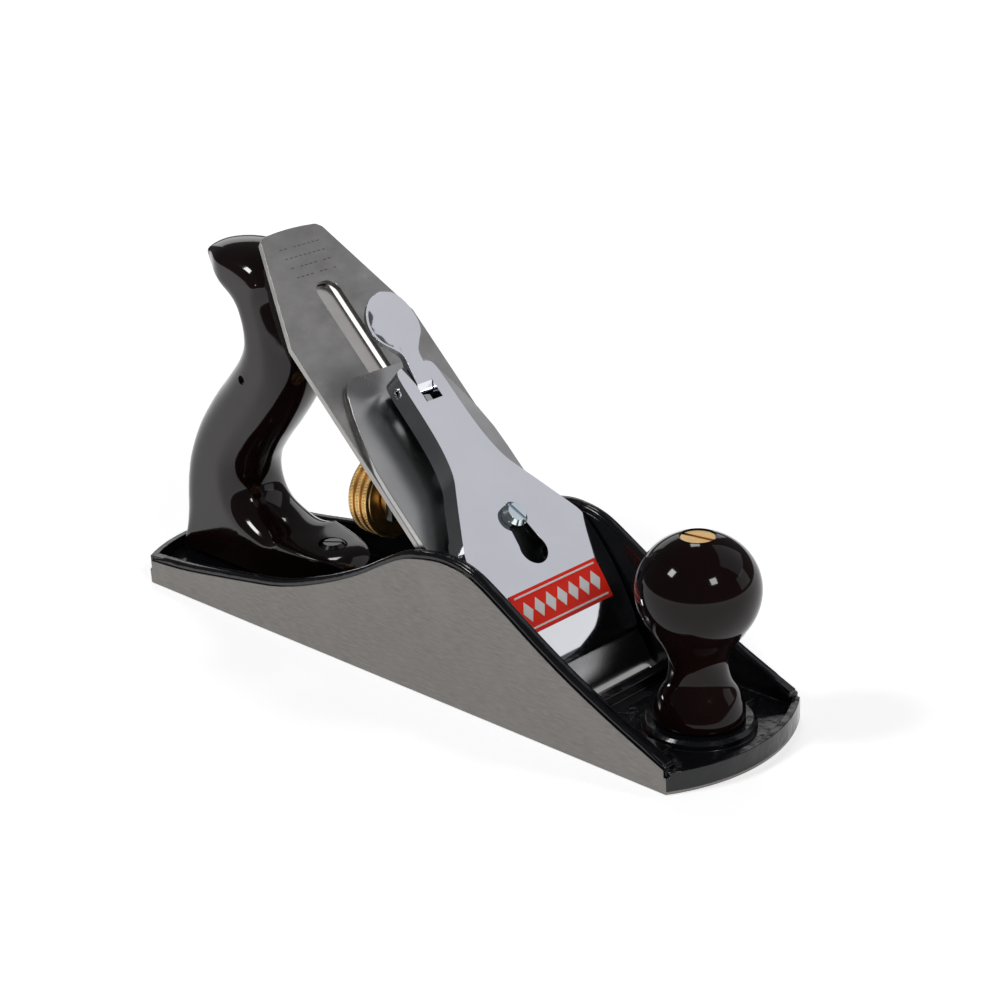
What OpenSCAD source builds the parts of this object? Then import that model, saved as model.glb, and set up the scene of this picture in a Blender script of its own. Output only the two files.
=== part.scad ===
// Bench smoothing plane with a 45 degree frog, screw depth feed and lever cap.
// Origin: middle of the sole's footprint, on the ground face. +X to the toe, +Z up.

/* [Body] */
// Length of the sole along its centre line
sole_l = 245; // [235:1:255]
// Width over the two ground cheeks
sole_w = 60; // [58:1:66]
// Thickness of the sole plate
sole_t = 5; // [4:0.5:6]
// Bulge of the toe's curved end
toe_bulge = 9.3; // [7:0.1:12]
// Bulge of the heel's curved end
heel_bulge = 9.3; // [7:0.1:12]
// Thickness of the cheek walls
cheek_t = 4.4; // [3.5:0.1:5.5]
// Height of the ground cheek face at the top of its hump
cheek_peak = 45.5; // [42:0.5:50]
// Height of the raised seat that the frog stands on
seat_z = 12; // [11.5:0.5:12.5]

/* [Cutter] */
// Angle of the frog's face to the sole
bed_angle = 45; // [44:0.5:46]
// Where the cutting edge meets the sole, ahead of the middle
edge_x = 62; // [58:0.5:66]
// Width of the cutting iron
iron_w = 50.4; // [50:0.1:51]
// Length of the cutting iron
iron_l = 175.4; // [170:0.1:180]
// Thickness of the cutting iron
iron_t = 2; // [1.8:0.1:2.4]
// Length of the cap iron
cap_iron_l = 120.3; // [118:0.1:124]
// Thickness of the cap iron
cap_iron_t = 1.9; // [1.6:0.1:2.2]

/* [Lever cap] */
// Height of the lever cap's flat face above the cutting iron
cap_rise = 13.4; // [12.6:0.1:14.2]
// Place of the lever cap screw along the bed, from the cutting edge
cap_screw_s = 58; // [57:0.1:59]
// How far the cap slides up to free its screw head
cap_travel = 11.5; // [11:0.1:12]

/* [Adjusters] */
// Thread pitch of the depth feed
feed_pitch = 1.06; // [0.9:0.01:1.3]
// Radius of the knurled depth wheel
wheel_r = 13.5; // [12:0.5:15]
// Height of the depth feed's stud above the sole
stud_z = 45; // [44:0.5:46]

/* [Handles] */
// Place of the front knob ahead of the middle
knob_x = 100.6; // [98:0.1:102]
// Radius of the knob's ball
knob_r = 17.6; // [16:0.1:19]
// Height of the knob above its seat
knob_h = 55.5; // [52:0.5:58]
// Thickness of the rear handle
tote_t = 26; // [24:0.5:28]

/* [Hidden] */
$fn = 64;
eps = 0.01;
run_gap = 0.06;
half_l = sole_l / 2;
half_w = sole_w / 2;
toe_x = half_l - toe_bulge;
heel_x = -half_l + heel_bulge;
lip_t = 2.2;
toe_lip_z = 6.6;
heel_lip_z = 9.4;
rim_rise = 1.8;
mouth_w = 53.8;
toe_screw_x = -52.4;
toe_screw_z = 18.1;
knob_nut_sink = 3.65;
frog_w = 44;
frog_face_n = -iron_t - 0.03;
frog_top_s = 119;
frog_web_n = -9.4;
slot_half = 4.5;
slot_low_s = 46;
slot_high_s = 150.5;
slot_hole_r = 9.4;
yoke_s = 94;
yoke_n = -14;
cap_screw_r = 2.4;
iron_screw_s = 76;
roller_s = 106;
pivot_s = 113;
adjust_z = 9;
clip_screw_z = 20;
clamp_x = 29;
clamp_y = 11;
foot_top = seat_z + 6;
lateral_n = -4.2;
cam_s = 108;
cam_n = 9.4;
cam_pin_r = 1.6;
seat_tote_z = 7.2;
seat_knob_z = 7.6;
rod_foot = [-108, 4];
rod_head = [-66, 108];

// Point [x, z] of the world at s up the bed and n out of the iron's face.
function bed(s, n) = [edge_x - s * cos(bed_angle) + n * sin(bed_angle),
    s * sin(bed_angle) + n * cos(bed_angle)];
yoke_at = bed(yoke_s, yoke_n);
groove_x = yoke_at[0];

// Catmull-Rom curve through open points p, with steps pieces in each span.
function cat(a, b, c, d, t) = 0.5 * ((2 * b) + (c - a) * t
    + (2 * a - 5 * b + 4 * c - d) * t * t + (3 * b - a - 3 * c + d) * t * t * t);
function open_curve(p, steps) = let (last = len(p) - 1) concat(
    [for (i = [0:last - 1]) for (k = [0:steps - 1])
        cat(p[max(i - 1, 0)], p[i], p[i + 1], p[min(i + 2, last)], k / steps)],
    [p[last]]);
function closed_curve(p, steps) = let (m = len(p)) [for (i = [0:m - 1]) for (k = [0:steps - 1])
    cat(p[(i + m - 1) % m], p[i], p[(i + 1) % m], p[(i + 2) % m], k / steps)];
function unit(v) = v / norm(v);

// Puts children in the bed's frame: x up the bed, z out of the iron's face.
module on_bed() {
    translate([edge_x, 0, 0])
        rotate([0, bed_angle, 0])
            rotate([0, 0, 180])
                children();
}

// A round bar along a line between two points of the centre plane.
module centre_rod(a, b, r) {
    run = b - a;
    translate([a[0], 0, a[1]])
        rotate([0, atan2(run[0], run[1]), 0])
            cylinder(h = norm(run), r = r);
}

// Side profile extruded across the plane, centred on y = 0.
module across(width) {
    rotate([90, 0, 0])
        linear_extrude(width, center = true)
            children();
}

// Plan outline of the sole with its two curved ends.
module sole_plan() {
    translate([(toe_x + heel_x) / 2, 0])
        square([toe_x - heel_x, sole_w], center = true);
    end_cap(1, toe_bulge);
    end_cap(-1, heel_bulge);
}

// Curved end of the sole: a slice of a disc that meets both cheeks.
module end_cap(side, bulge) {
    disc_r = (half_w * half_w + bulge * bulge) / (2 * bulge);
    intersection() {
        translate([side * (half_l - disc_r), 0])
            circle(r = disc_r, $fn = 128);
        end_strip(side, bulge + 3);
    }
}

// Full-width band at one end of the plane.
module end_strip(side, reach) {
    translate([side * (half_l - reach / 2), 0])
        square([reach, sole_w], center = true);
}

// Raised lip that follows one curved end, its ends buried in the cheeks.
module end_lip(side, bulge, height) {
    disc_r = (half_w * half_w + bulge * bulge) / (2 * bulge);
    translate([0, 0, 1])
        linear_extrude(height - 1)
            intersection() {
                difference() {
                    translate([side * (half_l - disc_r), 0])
                        circle(r = disc_r, $fn = 128);
                    translate([side * (half_l - disc_r), 0])
                        circle(r = disc_r - lip_t, $fn = 128);
                }
                translate([side * (half_l - bulge), 0])
                    square([2 * bulge + 6, sole_w - 2.4], center = true);
            }
}

// Height of the ground cheek face along the plane.
cheek_end = 0.8;
CHEEK_LINE = open_curve([[heel_x + cheek_end, 8.2], [-96, 9.4], [-80, 11.6], [-62, 14.4], [-44, 17.6],
    [-24, 24.2], [-7, 31.6], [5, 38.2], [14, 42.6], [24, cheek_peak - 0.6], [32, cheek_peak],
    [42, 43.6], [54, 37], [66, 29.6], [80, 21.8], [96, 14.2], [toe_x - cheek_end, 7.2]], 3);

// One cheek: ground outer face up to the cheek line, inner web a rim higher.
cheek_low_z = 2;
module cheek() {
    cheek_slab(0, cheek_t, 0);
    cheek_slab(1.1, cheek_t - 0.5, 0.8 * rim_rise);
}

// Layer of the cheek from y0 to y1 inwards, its top raised over the cheek line.
module cheek_slab(y0, y1, raised) {
    translate([0, y1 - half_w, 0])
        rotate([90, 0, 0])
            linear_extrude(y1 - y0)
                polygon(concat([[CHEEK_LINE[0][0], cheek_low_z]],
                    [for (p = CHEEK_LINE) [p[0], p[1] + raised]], [[CHEEK_LINE[len(CHEEK_LINE) - 1][0], cheek_low_z]]));
}

// Raised seat under the frog, with threaded holes for its clamp screws.
module frog_seat() {
    translate([14, -17, sole_t - eps])
        cube([30, 34, seat_z - sole_t]);
    translate([40, -25.8, sole_t - eps])
        cube([10, 51.6, 2.6]);
}

// Ribs that stiffen the plate ahead of the mouth and behind the frog.
module cross_ribs() {
    translate([70.5, -25.8, sole_t - eps])
        cube([3.6, 51.6, 3]);
    translate([-26, -25.8, sole_t - eps])
        cube([3.2, 51.6, 2.4]);
}

// Raised boss with a soft shoulder.
module boss(r, h) {
    cylinder(h = h - 1, r = r);
    translate([0, 0, h - 1])
        cylinder(h = 1, r1 = r, r2 = r - 1, $fn = 96);
}

// Pad that the rear handle stands on.
module tote_pad() {
    translate([0, 0, sole_t - eps])
        linear_extrude(seat_tote_z - sole_t)
            union() {
                translate([-76, 0])
                    square([64, 19], center = true);
                for (x = [-108, -44])
                    translate([x, 0])
                        circle(r = 9.5);
            }
}

// Plain raised tablets cast on the toe and behind the mouth.
module toe_tablets() {
    for (side = [-1, 1])
        translate([94, side * 19.6, sole_t - eps])
            linear_extrude(1.1)
                square([20, 6.4], center = true);
}

// Throat through the sole, sloped behind to clear the cutting iron.
module mouth_profile() {
    back = edge_x - 5.5;
    front = edge_x + 4.5;
    polygon([[back, -1], [back, 0.6], [back - 6.4, 7], [back - 6.4, 14], [front, 14], [front, -1]]);
}

module sole_body() {
    color("dimgray")
        difference() {
            union() {
                linear_extrude(sole_t)
                    sole_plan();
                end_lip(1, toe_bulge, toe_lip_z);
                end_lip(-1, heel_bulge, heel_lip_z);
                cheek();
                mirror([0, 1, 0])
                    cheek();
                frog_seat();
                cross_ribs();
                tote_pad();
                toe_tablets();
                translate([knob_x, 0, sole_t - eps])
                    boss(16.2, seat_knob_z - sole_t);
            }
            across(mouth_w)
                mouth_profile();
            for (side = [-1, 1])
                translate([clamp_x, side * clamp_y, 2])
                    cylinder(h = seat_z, r = 2.6);
            translate([knob_x, 0, 1.5])
                cylinder(h = 10, r = 3);
            centre_rod(rod_foot - unit(rod_head - rod_foot) * 2, rod_head, 2.62);
            translate([toe_screw_x, 0, 2])
                cylinder(h = 10, r = 2.4);
            translate([10, 0, adjust_z])
                rotate([0, 90, 0])
                    cylinder(h = 14, r = 2.06);
        }
}

// Frog: sloping bed carried on a foot, with slots for its clamp screws.
frog_foot_x = 9;
module frog_profile() {
    polygon([bed(13.5, frog_face_n), bed(frog_top_s, frog_face_n), bed(frog_top_s, frog_web_n),
        bed(62, frog_web_n), [frog_foot_x + 1, 30], [frog_foot_x, 26], [frog_foot_x, seat_z + 0.05],
        [47, seat_z + 0.05]]);
}

// Plan of the frog's face, narrowing to its top.
module frog_plan() {
    half = frog_w / 2;
    polygon([[-80, -half], [52, -half], [74, -17], [frog_top_s - 4, -14], [frog_top_s + 1, -10],
        [frog_top_s + 1, 10], [frog_top_s - 4, 14], [74, 17], [52, half], [-80, half]]);
}

ear_y = 10.4;
module yoke_ear() {
    rotate([90, 0, 0])
        linear_extrude(2.4, center = true)
            difference() {
                union() {
                    circle(r = 3.6);
                    translate([-3.4, 0])
                        square([6.8, 6]);
                }
                circle(r = yoke_pin_r);
            }
}

module frog() {
    slot_run = 2.2;
    color("black")
        difference() {
            union() {
                intersection() {
                    across(frog_w + 6)
                        frog_profile();
                    on_bed()
                        translate([0, 0, -80])
                            linear_extrude(120)
                                frog_plan();
                }
                for (side = [-1, 1])
                    on_bed()
                        translate([yoke_s, side * ear_y, yoke_n])
                            yoke_ear();
                translate([-1, 0, stud_z])
                    rotate([0, 90, 0])
                        cylinder(h = 8, r = 6);
            }
            for (side = [-1, 1])
                translate([clamp_x, side * clamp_y, 0]) {
                    linear_extrude(40)
                        hull_slot(slot_run, 3);
                    translate([0, 0, foot_top])
                        linear_extrude(40)
                            hull_slot(slot_run, 5.4);
                }
            on_bed()
                translate([cap_screw_s, 0, -26])
                    cylinder(h = 30, r = cap_screw_r);
            on_bed()
                translate([yoke_s - 6, -3.6, -30])
                    cube([12, 7.2, 40]);
            on_bed()
                translate([iron_screw_s - 11, -9, -6.2])
                    cube([22, 18, 10]);
            on_bed()
                translate([roller_s - 8, -6.6, lateral_n - 0.3])
                    cube([40, 13.2, 10]);
            on_bed()
                translate([pivot_s, 0, -20])
                    cylinder(h = 20, r = 2.0);
            translate([-20, 0, stud_z])
                rotate([0, 90, 0])
                    cylinder(h = 20.4 + stud_tip_x, r = stud_r + 0.02);
            translate([frog_foot_x - 2, 0, clip_screw_z])
                rotate([0, 90, 0])
                    cylinder(h = 8.4, r = 2.06);
        }
}

// Round-ended slot along x, run each way from the middle.
module hull_slot(run, r) {
    square([2 * run, 2 * r], center = true);
    for (side = [-1, 1])
        translate([side * run, 0])
            circle(r = r);
}

// Slotted screw standing on its axis: head up, shank down.
module slotted_screw(head_r, head_h, shank_r, shank_l, slot_w = 1) {
    difference() {
        union() {
            cylinder(h = head_h * 0.55, r = head_r);
            translate([0, 0, head_h * 0.55 - eps])
                cylinder(h = head_h * 0.45, r1 = head_r, r2 = head_r * 0.72, $fn = 48);
        }
        translate([-head_r - 1, -slot_w / 2, head_h * 0.5])
            cube([2 * head_r + 2, slot_w, head_h]);
    }
    translate([0, 0, -shank_l])
        cylinder(h = shank_l + eps, r = shank_r);
}

module frog_washers() {
    color("silver")
        for (side = [-1, 1])
            translate([clamp_x, side * clamp_y, foot_top])
                difference() {
                    cylinder(h = 1, r = 5);
                    translate([0, 0, -1])
                        cylinder(h = 3, r = 2.6 + run_gap);
                }
}

module frog_clamp_screws() {
    color("gray")
        for (side = [-1, 1])
            translate([clamp_x, side * clamp_y, foot_top + 1])
                slotted_screw(4.3, 3, 2.6, foot_top - 1.2);
}

// Screw behind the frog that draws it along its seat.
module frog_adjust_screw() {
    color("gray")
        translate([frog_foot_x - 1.8, 0, adjust_z])
            rotate([0, -90, 0])
                rotate([0, 0, 90])
                    slotted_screw(3.7, 3, 2, 14);
}

// Forked plate that holds the adjusting screw's neck.
module frog_clip() {
    color("gray")
        difference() {
            translate([frog_foot_x - 1.7, -6, adjust_z - 3.6])
                cube([1.6, 12, 20]);
            translate([frog_foot_x - 3, 0, adjust_z])
                rotate([0, 90, 0])
                    cylinder(h = 6, r = 2.06);
            translate([frog_foot_x - 3, 0, clip_screw_z])
                rotate([0, 90, 0])
                    cylinder(h = 6, r = 2.1);
        }
}

module frog_clip_screw() {
    color("gray")
        translate([frog_foot_x - 1.8, 0, clip_screw_z])
            rotate([0, -90, 0])
                slotted_screw(3.4, 2, 2.04, 8);
}

// Forked lever: fingers in the depth nut's groove, tip in the cap iron.
yoke_pin_r = 1.8;
groove_r = 5.2;
module yoke_lever() {
    color("slategray")
        difference() {
            union() {
                translate([yoke_at[0], 0, yoke_at[1]])
                    rotate([90, 0, 0])
                        cylinder(h = 17.6, r = 2.8, center = true);
                on_bed()
                    translate([yoke_s - 2, -2.4, yoke_n])
                        cube([4, 4.8, -yoke_n + 1.3]);
                for (side = [-1, 1])
                    translate([groove_x, side * (groove_r + 1.9), (yoke_at[1] + stud_z) / 2 - 1.5])
                        cube([2.4, 3, yoke_at[1] - stud_z + 6], center = true);
                translate([groove_x - 1.2, -groove_r - 3.4, yoke_at[1] - 1.4])
                    cube([2.4, 2 * groove_r + 6.8, 2.6]);
            }
            translate([yoke_at[0], 0, yoke_at[1]])
                rotate([90, 0, 0])
                    cylinder(h = 30, r = yoke_pin_r + run_gap, center = true);
        }
}

module yoke_pin() {
    color("silver")
        translate([yoke_at[0], 0, yoke_at[1]])
            rotate([90, 0, 0])
                cylinder(h = 2 * ear_y + 3.2, r = yoke_pin_r, center = true);
}

stud_r = 3.0;
stud_tail_x = -37;
stud_tip_x = 5.4;
module depth_stud() {
    color("gray")
        translate([stud_tail_x, 0, stud_z])
            rotate([0, 90, 0])
                cylinder(h = stud_tip_x - stud_tail_x, r = stud_r);
}

// Grooved collar that carries the yoke's fingers.
module depth_nut_hub() {
    color("goldenrod")
        translate([groove_x, 0, stud_z])
            rotate([0, 90, 0])
                difference() {
                    union() {
                        cylinder(h = 8.6, r = groove_r, center = true);
                        for (side = [-1, 1])
                            translate([0, 0, side * 3.3])
                                cylinder(h = 2, r = 7.8, center = true);
                        translate([0, 0, -wheel_w - 5.1])
                            cylinder(h = wheel_w + 4.2, r = 4.9);
                    }
                    cylinder(h = 40, r = stud_r + run_gap, center = true);
                }
}

// Knurled wheel: three beaded rims round a thick disc.
wheel_w = 8.6;
wheel_x = groove_x - 9.1;
module depth_nut_wheel() {
    color("goldenrod")
        translate([wheel_x, 0, stud_z])
            rotate([0, 90, 0])
                difference() {
                    union() {
                        cylinder(h = wheel_w, r = wheel_r - 1.4, center = true);
                        for (k = [-1:1])
                            translate([0, 0, k * 3])
                                cylinder(h = 2, r = wheel_r, center = true);
                    }
                    cylinder(h = 40, r = 4.9 + run_gap, center = true);
                    translate([0, 0, -wheel_w / 2 - eps])
                        difference() {
                            cylinder(h = 1.4, r = wheel_r - 3.4);
                            cylinder(h = 1.4, r = 6.4);
                        }
                }
}

// Flat lever under the iron, bent to a thumb tab at its upper end.
lateral_t = 1.6;
lateral_end_s = 157;
module lateral_lever() {
    color("silver")
        on_bed()
            difference() {
                union() {
                    translate([roller_s, -3.6, lateral_n])
                        cube([lateral_end_s - roller_s, 7.2, lateral_t]);
                    translate([pivot_s, 0, lateral_n])
                        cylinder(h = lateral_t, r = 6.2);
                    translate([roller_s, 0, lateral_n])
                        cylinder(h = lateral_t, r = 3.6);
                    translate([roller_s, 0, lateral_n])
                        cylinder(h = 4.0, r = 2.0);
                    translate([lateral_end_s, 0, lateral_n])
                        cylinder(h = lateral_t, r = 3.6);
                    translate([lateral_end_s - 2, -6.5, lateral_n - 6])
                        cube([1.6, 13, 6 + lateral_t]);
                }
                translate([pivot_s, 0, -20])
                    cylinder(h = 40, r = 2.0 + run_gap);
            }
}

module lateral_pivot_pin() {
    color("gray")
        on_bed()
            translate([pivot_s, 0, lateral_n + lateral_t + 0.06 - 8.4])
                union() {
                    cylinder(h = 8.4, r = 1.98);
                    translate([0, 0, 8.4 - eps])
                        cylinder(h = 0.45, r = 3.2);
                }
}

module lateral_roller() {
    color("silver")
        on_bed()
            translate([roller_s, 0, -1.9])
                difference() {
                    cylinder(h = 1.7, r = slot_half - 0.2);
                    translate([0, 0, -1])
                        cylinder(h = 4, r = 2.1);
                }
}

module lever_cap_screw() {
    color("lightsteelblue")
        on_bed()
            translate([cap_screw_s, 0, cap_rise + 0.12])
                rotate([0, 0, 20])
                    slotted_screw(4.1, 2.8, cap_screw_r - 0.02, cap_rise + 20, 1.1);
}

// Cutting iron: clipped top corners, keyhole slot and a ground bevel.
module iron_plan() {
    chamfer_s = 138;
    top_half = 11.8;
    half = iron_w / 2;
    polygon(concat([[0, -half], [chamfer_s - 1.5, -half], [chamfer_s + 1, -half + 0.8],
        [iron_l - 2.4, -top_half - 0.8], [iron_l - 0.9, -top_half + 0.9]],
        [for (a = [-10:5:10]) [iron_l - 0.1 - 0.6 * pow(a / 10, 2), a * 1.02]],
        [[iron_l - 0.9, top_half - 0.9], [iron_l - 2.4, top_half + 0.8],
        [chamfer_s + 1, half - 0.8], [chamfer_s - 1.5, half], [0, half]]));
}

module plane_iron() {
    color("darkgray")
        on_bed()
            difference() {
                translate([0, 0, -iron_t])
                    linear_extrude(iron_t)
                        difference() {
                            iron_plan();
                            translate([slot_low_s, -slot_half])
                                square([slot_high_s - slot_low_s, 2 * slot_half]);
                            translate([slot_high_s, 0])
                                circle(r = slot_half);
                            translate([slot_low_s, 0])
                                circle(r = slot_hole_r);
                        }
                rotate([90, 0, 0])
                    linear_extrude(iron_w + 2, center = true)
                        polygon([[-1, -iron_t - 1], [4.6, -iron_t - 1], [4.6, -iron_t], [-1, 0.9]]);
            }
}

// Cap iron: flat on the iron, humped near the edge, cut to a shouldered plan.
module cap_iron() {
    t = cap_iron_t;
    under = open_curve([[1.6, 0.02], [4, 1.4], [9, 2.7], [15, 2.9], [23, 2.0], [31, 0.7], [38, 0.05]], 4);
    over = open_curve([[38, 0.05 + t], [31, 0.7 + t], [23, 2.0 + t], [15, 2.9 + t], [9, 2.5 + t],
        [4, 0.9 + t], [1.6, 0.3]], 4);
    color("slategray")
        on_bed()
            difference() {
                intersection() {
                    rotate([90, 0, 0])
                        linear_extrude(iron_w, center = true)
                            polygon(concat(under, [[cap_iron_l, 0.05], [cap_iron_l, 0.05 + t]], over));
                    translate([0, 0, -1])
                        linear_extrude(12)
                            cap_iron_plan();
                }
                translate([cap_screw_s, 0, -1])
                    linear_extrude(9)
                        hull_slot(5, 4.9);
                translate([yoke_s, 0, 0])
                    cube([5.6, 6.8, 20], center = true);
                translate([iron_screw_s, 0, -1])
                    cylinder(h = 9, r = 3.5);
            }
}

module cap_iron_plan() {
    half = iron_w / 2 - 0.05;
    side = [[0, half], [82, half], [90, half - 0.3], [98, half - 1.6], [108, half - 4.2],
        [115, half - 6.6], [118.4, half - 8.4], [cap_iron_l, half - 11]];
    polygon(concat(side, [for (i = [len(side) - 1:-1:0]) [side[i][0], -side[i][1]]]));
}

// Short broad screw that clamps the two irons from below.
module cap_iron_screw() {
    color("gray")
        on_bed()
            translate([iron_screw_s, 0, -iron_t - 0.02])
                rotate([180, 0, 0])
                    difference() {
                        union() {
                            cylinder(h = 3.2, r = 7);
                            translate([0, 0, -iron_t - cap_iron_t])
                                cylinder(h = iron_t + cap_iron_t + eps, r = 3.48);
                        }
                        translate([-8, -0.7, 2])
                            cube([16, 1.4, 3]);
                    }
}

// Half width of the lever cap at places up the bed.
CAP_SIDE = open_curve([[12.6, 22.8], [15, 24], [30, 24.6], [40, 24.8], [47, 24.9], [51.5, 24.4],
    [56, 22.2], [61, 19.4], [66, 16.6], [71, 13.7], [76, 11], [82, 9.4], [89, 8.5], [98, 8.1],
    [109, 7.9], [112.4, 7.2], [113.6, 5.4]], 4);

module cap_plan(inset = 0) {
    polygon(concat([for (p = CAP_SIDE) [p[0], max(p[1] - inset, 0.5)]],
        [for (i = [len(CAP_SIDE) - 1:-1:0]) [CAP_SIDE[i][0], -max(CAP_SIDE[i][1] - inset, 0.5)]]));
}

// Side view of the lever cap's skin between its front edge and its top end.
CAP_CROWN = open_curve([[12, 6], [14.5, 7.4], [19, 9.2], [26, 11.1], [34, 12.6], [43, 13.36],
    [52, 13.4]], 4);
function cap_crown(drop) = [for (p = CAP_CROWN) [p[0] + drop * 0.3, p[1] - drop]];

module cap_solid(inset, drop, floor_n) {
    intersection() {
        rotate([90, 0, 0])
            linear_extrude(iron_w, center = true)
                polygon(concat([[12 + drop * 0.5, floor_n]], cap_crown(drop),
                    [[114, cap_rise - drop], [114, floor_n]]));
        linear_extrude(20)
            cap_plan(inset);
    }
}

module lever_cap() {
    color("gainsboro")
        on_bed()
            difference() {
                cap_solid(0, 0, 5.1);
                difference() {
                    cap_solid(2, 2.4, 0);
                    translate([8, -30, 0])
                        cube([9, 60, 20]);
                }
                translate([60, -40, -1])
                    cube([60, 80, 6.9]);
                keyhole(20);
                translate([101, -3.3, 0])
                    cube([20, 6.6, 20]);
                translate([cam_s, 0, cam_n])
                    rotate([90, 0, 0])
                        cylinder(h = 30, r = cam_pin_r, center = true);
                translate([82, 0, 0])
                    cylinder(h = cap_rise - 1.2, r = 1.5);
            }
}

key_big_r = 4.9;
key_neck_r = 3.1;
module keyhole(h) {
    big_s = cap_screw_s - cap_travel;
    translate([big_s, 0, 0])
        cylinder(h = h, r = key_big_r);
    translate([cap_screw_s, 0, 0])
        cylinder(h = h, r = key_neck_r);
    linear_extrude(h)
        polygon([[big_s, 0.2 - key_big_r], [cap_screw_s, 0.1 - key_neck_r],
            [cap_screw_s, key_neck_r - 0.1], [big_s, key_big_r - 0.2]]);
}

// Enamelled inlay: a plain panel that follows the cap's crowned front.
module cap_badge() {
    color("red")
        on_bed()
            intersection() {
                rotate([90, 0, 0])
                    linear_extrude(60, center = true)
                        polygon(concat(cap_crown(-0.35),
                            [for (i = [len(CAP_CROWN) - 1:-1:0]) cap_crown(0)[i]]));
                translate([24, -18.5, 0])
                    cube([12.4, 37, 20]);
            }
}

// Thumb lever: round cam on the pin, narrow neck and a dished thumb plate.
module cam_lever() {
    color("gainsboro")
        on_bed()
            difference() {
                union() {
                    translate([cam_s, 0, cam_n])
                        rotate([90, 0, 0])
                            cylinder(h = 6, r = 3.7, center = true);
                    rotate([90, 0, 0])
                        linear_extrude(6, center = true)
                            polygon([[105.6, 12.2], [107, 13.6], [114, 15.2], [119, 16.1],
                                [119, 14.5], [115, 13.2], [111.4, 10.6], [108, 8]]);
                    cam_paddle();
                }
                translate([cam_s, 0, cam_n])
                    rotate([90, 0, 0])
                        cylinder(h = 30, r = cam_pin_r + run_gap, center = true);
            }
}

module cam_paddle() {
    intersection() {
        rotate([90, 0, 0])
            linear_extrude(20, center = true)
                polygon(concat(
                    open_curve([[113, 14.9], [118, 15.9], [124, 16.2], [130, 16.8], [137.6, 19]], 5),
                    open_curve([[137.9, 17.9], [130, 15.3], [124, 14.6], [118, 14.2], [113, 12.4]], 5)));
        linear_extrude(40)
            paddle_plan();
    }
}

module paddle_plan() {
    half = open_curve([[112, 3], [116.4, 3.2], [119.4, 5.4], [122.8, 8.4], [127.4, 9.4], [132.2, 8.1],
        [135.8, 4.8], [137.2, 0.2]], 5);
    polygon(concat(half, [for (i = [len(half) - 1:-1:0]) [half[i][0], -half[i][1]]]));
}

module cam_pin() {
    color("silver")
        on_bed()
            translate([cam_s, 0, cam_n])
                rotate([90, 0, 0])
                    difference() {
                        cylinder(h = 16.4, r = cam_pin_r, center = true);
                        cylinder(h = 20, r = 0.8, center = true);
                    }
}

// Leaf spring between the cam and the cap iron.
module cap_spring() {
    color("darkslategray")
        on_bed()
            difference() {
                rotate([90, 0, 0])
                    linear_extrude(10, center = true)
                        polygon([[76, 10.2], [86, 10.2], [97, 5.1], [111, 4.2], [111, 3.4],
                            [96.6, 4.2], [85.6, 9.4], [76, 9.4]]);
                translate([82, 0, 0])
                    cylinder(h = 14, r = 1.52);
            }
}

module cap_spring_rivet() {
    color("silver")
        on_bed()
            translate([82, 0, 8.3])
                union() {
                    cylinder(h = 3.9, r = 1.48);
                    cylinder(h = 1.09, r = 2.8);
                }
}

// Rear handle outline in the centre plane, from the heel round to the toe.
TOTE_LINE = closed_curve([[-116.8, 8.2], [-118, 20], [-117, 31], [-113.6, 43], [-107, 55],
    [-98, 66], [-89, 75], [-82, 83], [-79, 90], [-80.6, 97], [-87.4, 103.6], [-95, 109.4],
    [-95.6, 115], [-89, 117.6], [-77, 118], [-66.6, 115.4], [-61, 109.4], [-59.6, 102],
    [-56.8, 93], [-55.2, 84], [-56.6, 75], [-61.8, 66], [-69.6, 56.6], [-78, 47.6], [-83.4, 40.4],
    [-84.4, 34.2], [-81.4, 28.6], [-74.4, 24.4], [-65, 21.8], [-53.5, 20.2], [-45, 19],
    [-40, 16.2], [-38, 12], [-37.8, 8.4], [-50, seat_tote_z], [-78, seat_tote_z], [-104, seat_tote_z]], 3);

module tote() {
    color("#1c1210")
        difference() {
            across(tote_t)
                polygon(TOTE_LINE);
            translate([-130, -tote_t, 0])
                cube([110, 2 * tote_t, seat_tote_z + 0.02]);
            centre_rod(rod_foot - [4, 10], rod_head + [6, 15], 2.7);
            centre_rod(rod_head, rod_head + unit(rod_head - rod_foot) * 20, 5.3);
            translate([toe_screw_x, 0, 0])
                cylinder(h = 40, r = 2.5);
            translate([toe_screw_x, 0, toe_screw_z])
                cylinder(h = 10, r = 4.7);
        }
}

module tote_rod() {
    color("gray")
        centre_rod(rod_foot - unit(rod_head - rod_foot) * 1.2, rod_head + [0.6, 1.5], 2.58);
}

module tote_nut() {
    run = rod_head - rod_foot;
    color("goldenrod")
        translate([rod_head[0], 0, rod_head[1]])
            rotate([0, atan2(run[0], run[1]), 0])
                difference() {
                    cylinder(h = 5.4, r = 5.2);
                    translate([0, 0, -1])
                        cylinder(h = 3.2, r = 2.6);
                    translate([-6, -0.6, 4])
                        cube([12, 1.2, 4]);
                }
}

module tote_toe_screw() {
    color("#222222")
        translate([toe_screw_x, 0, toe_screw_z + 0.05])
            rotate([0, 0, 35])
                slotted_screw(4.4, 2.6, 2.38, toe_screw_z - 2.6);
}

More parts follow.
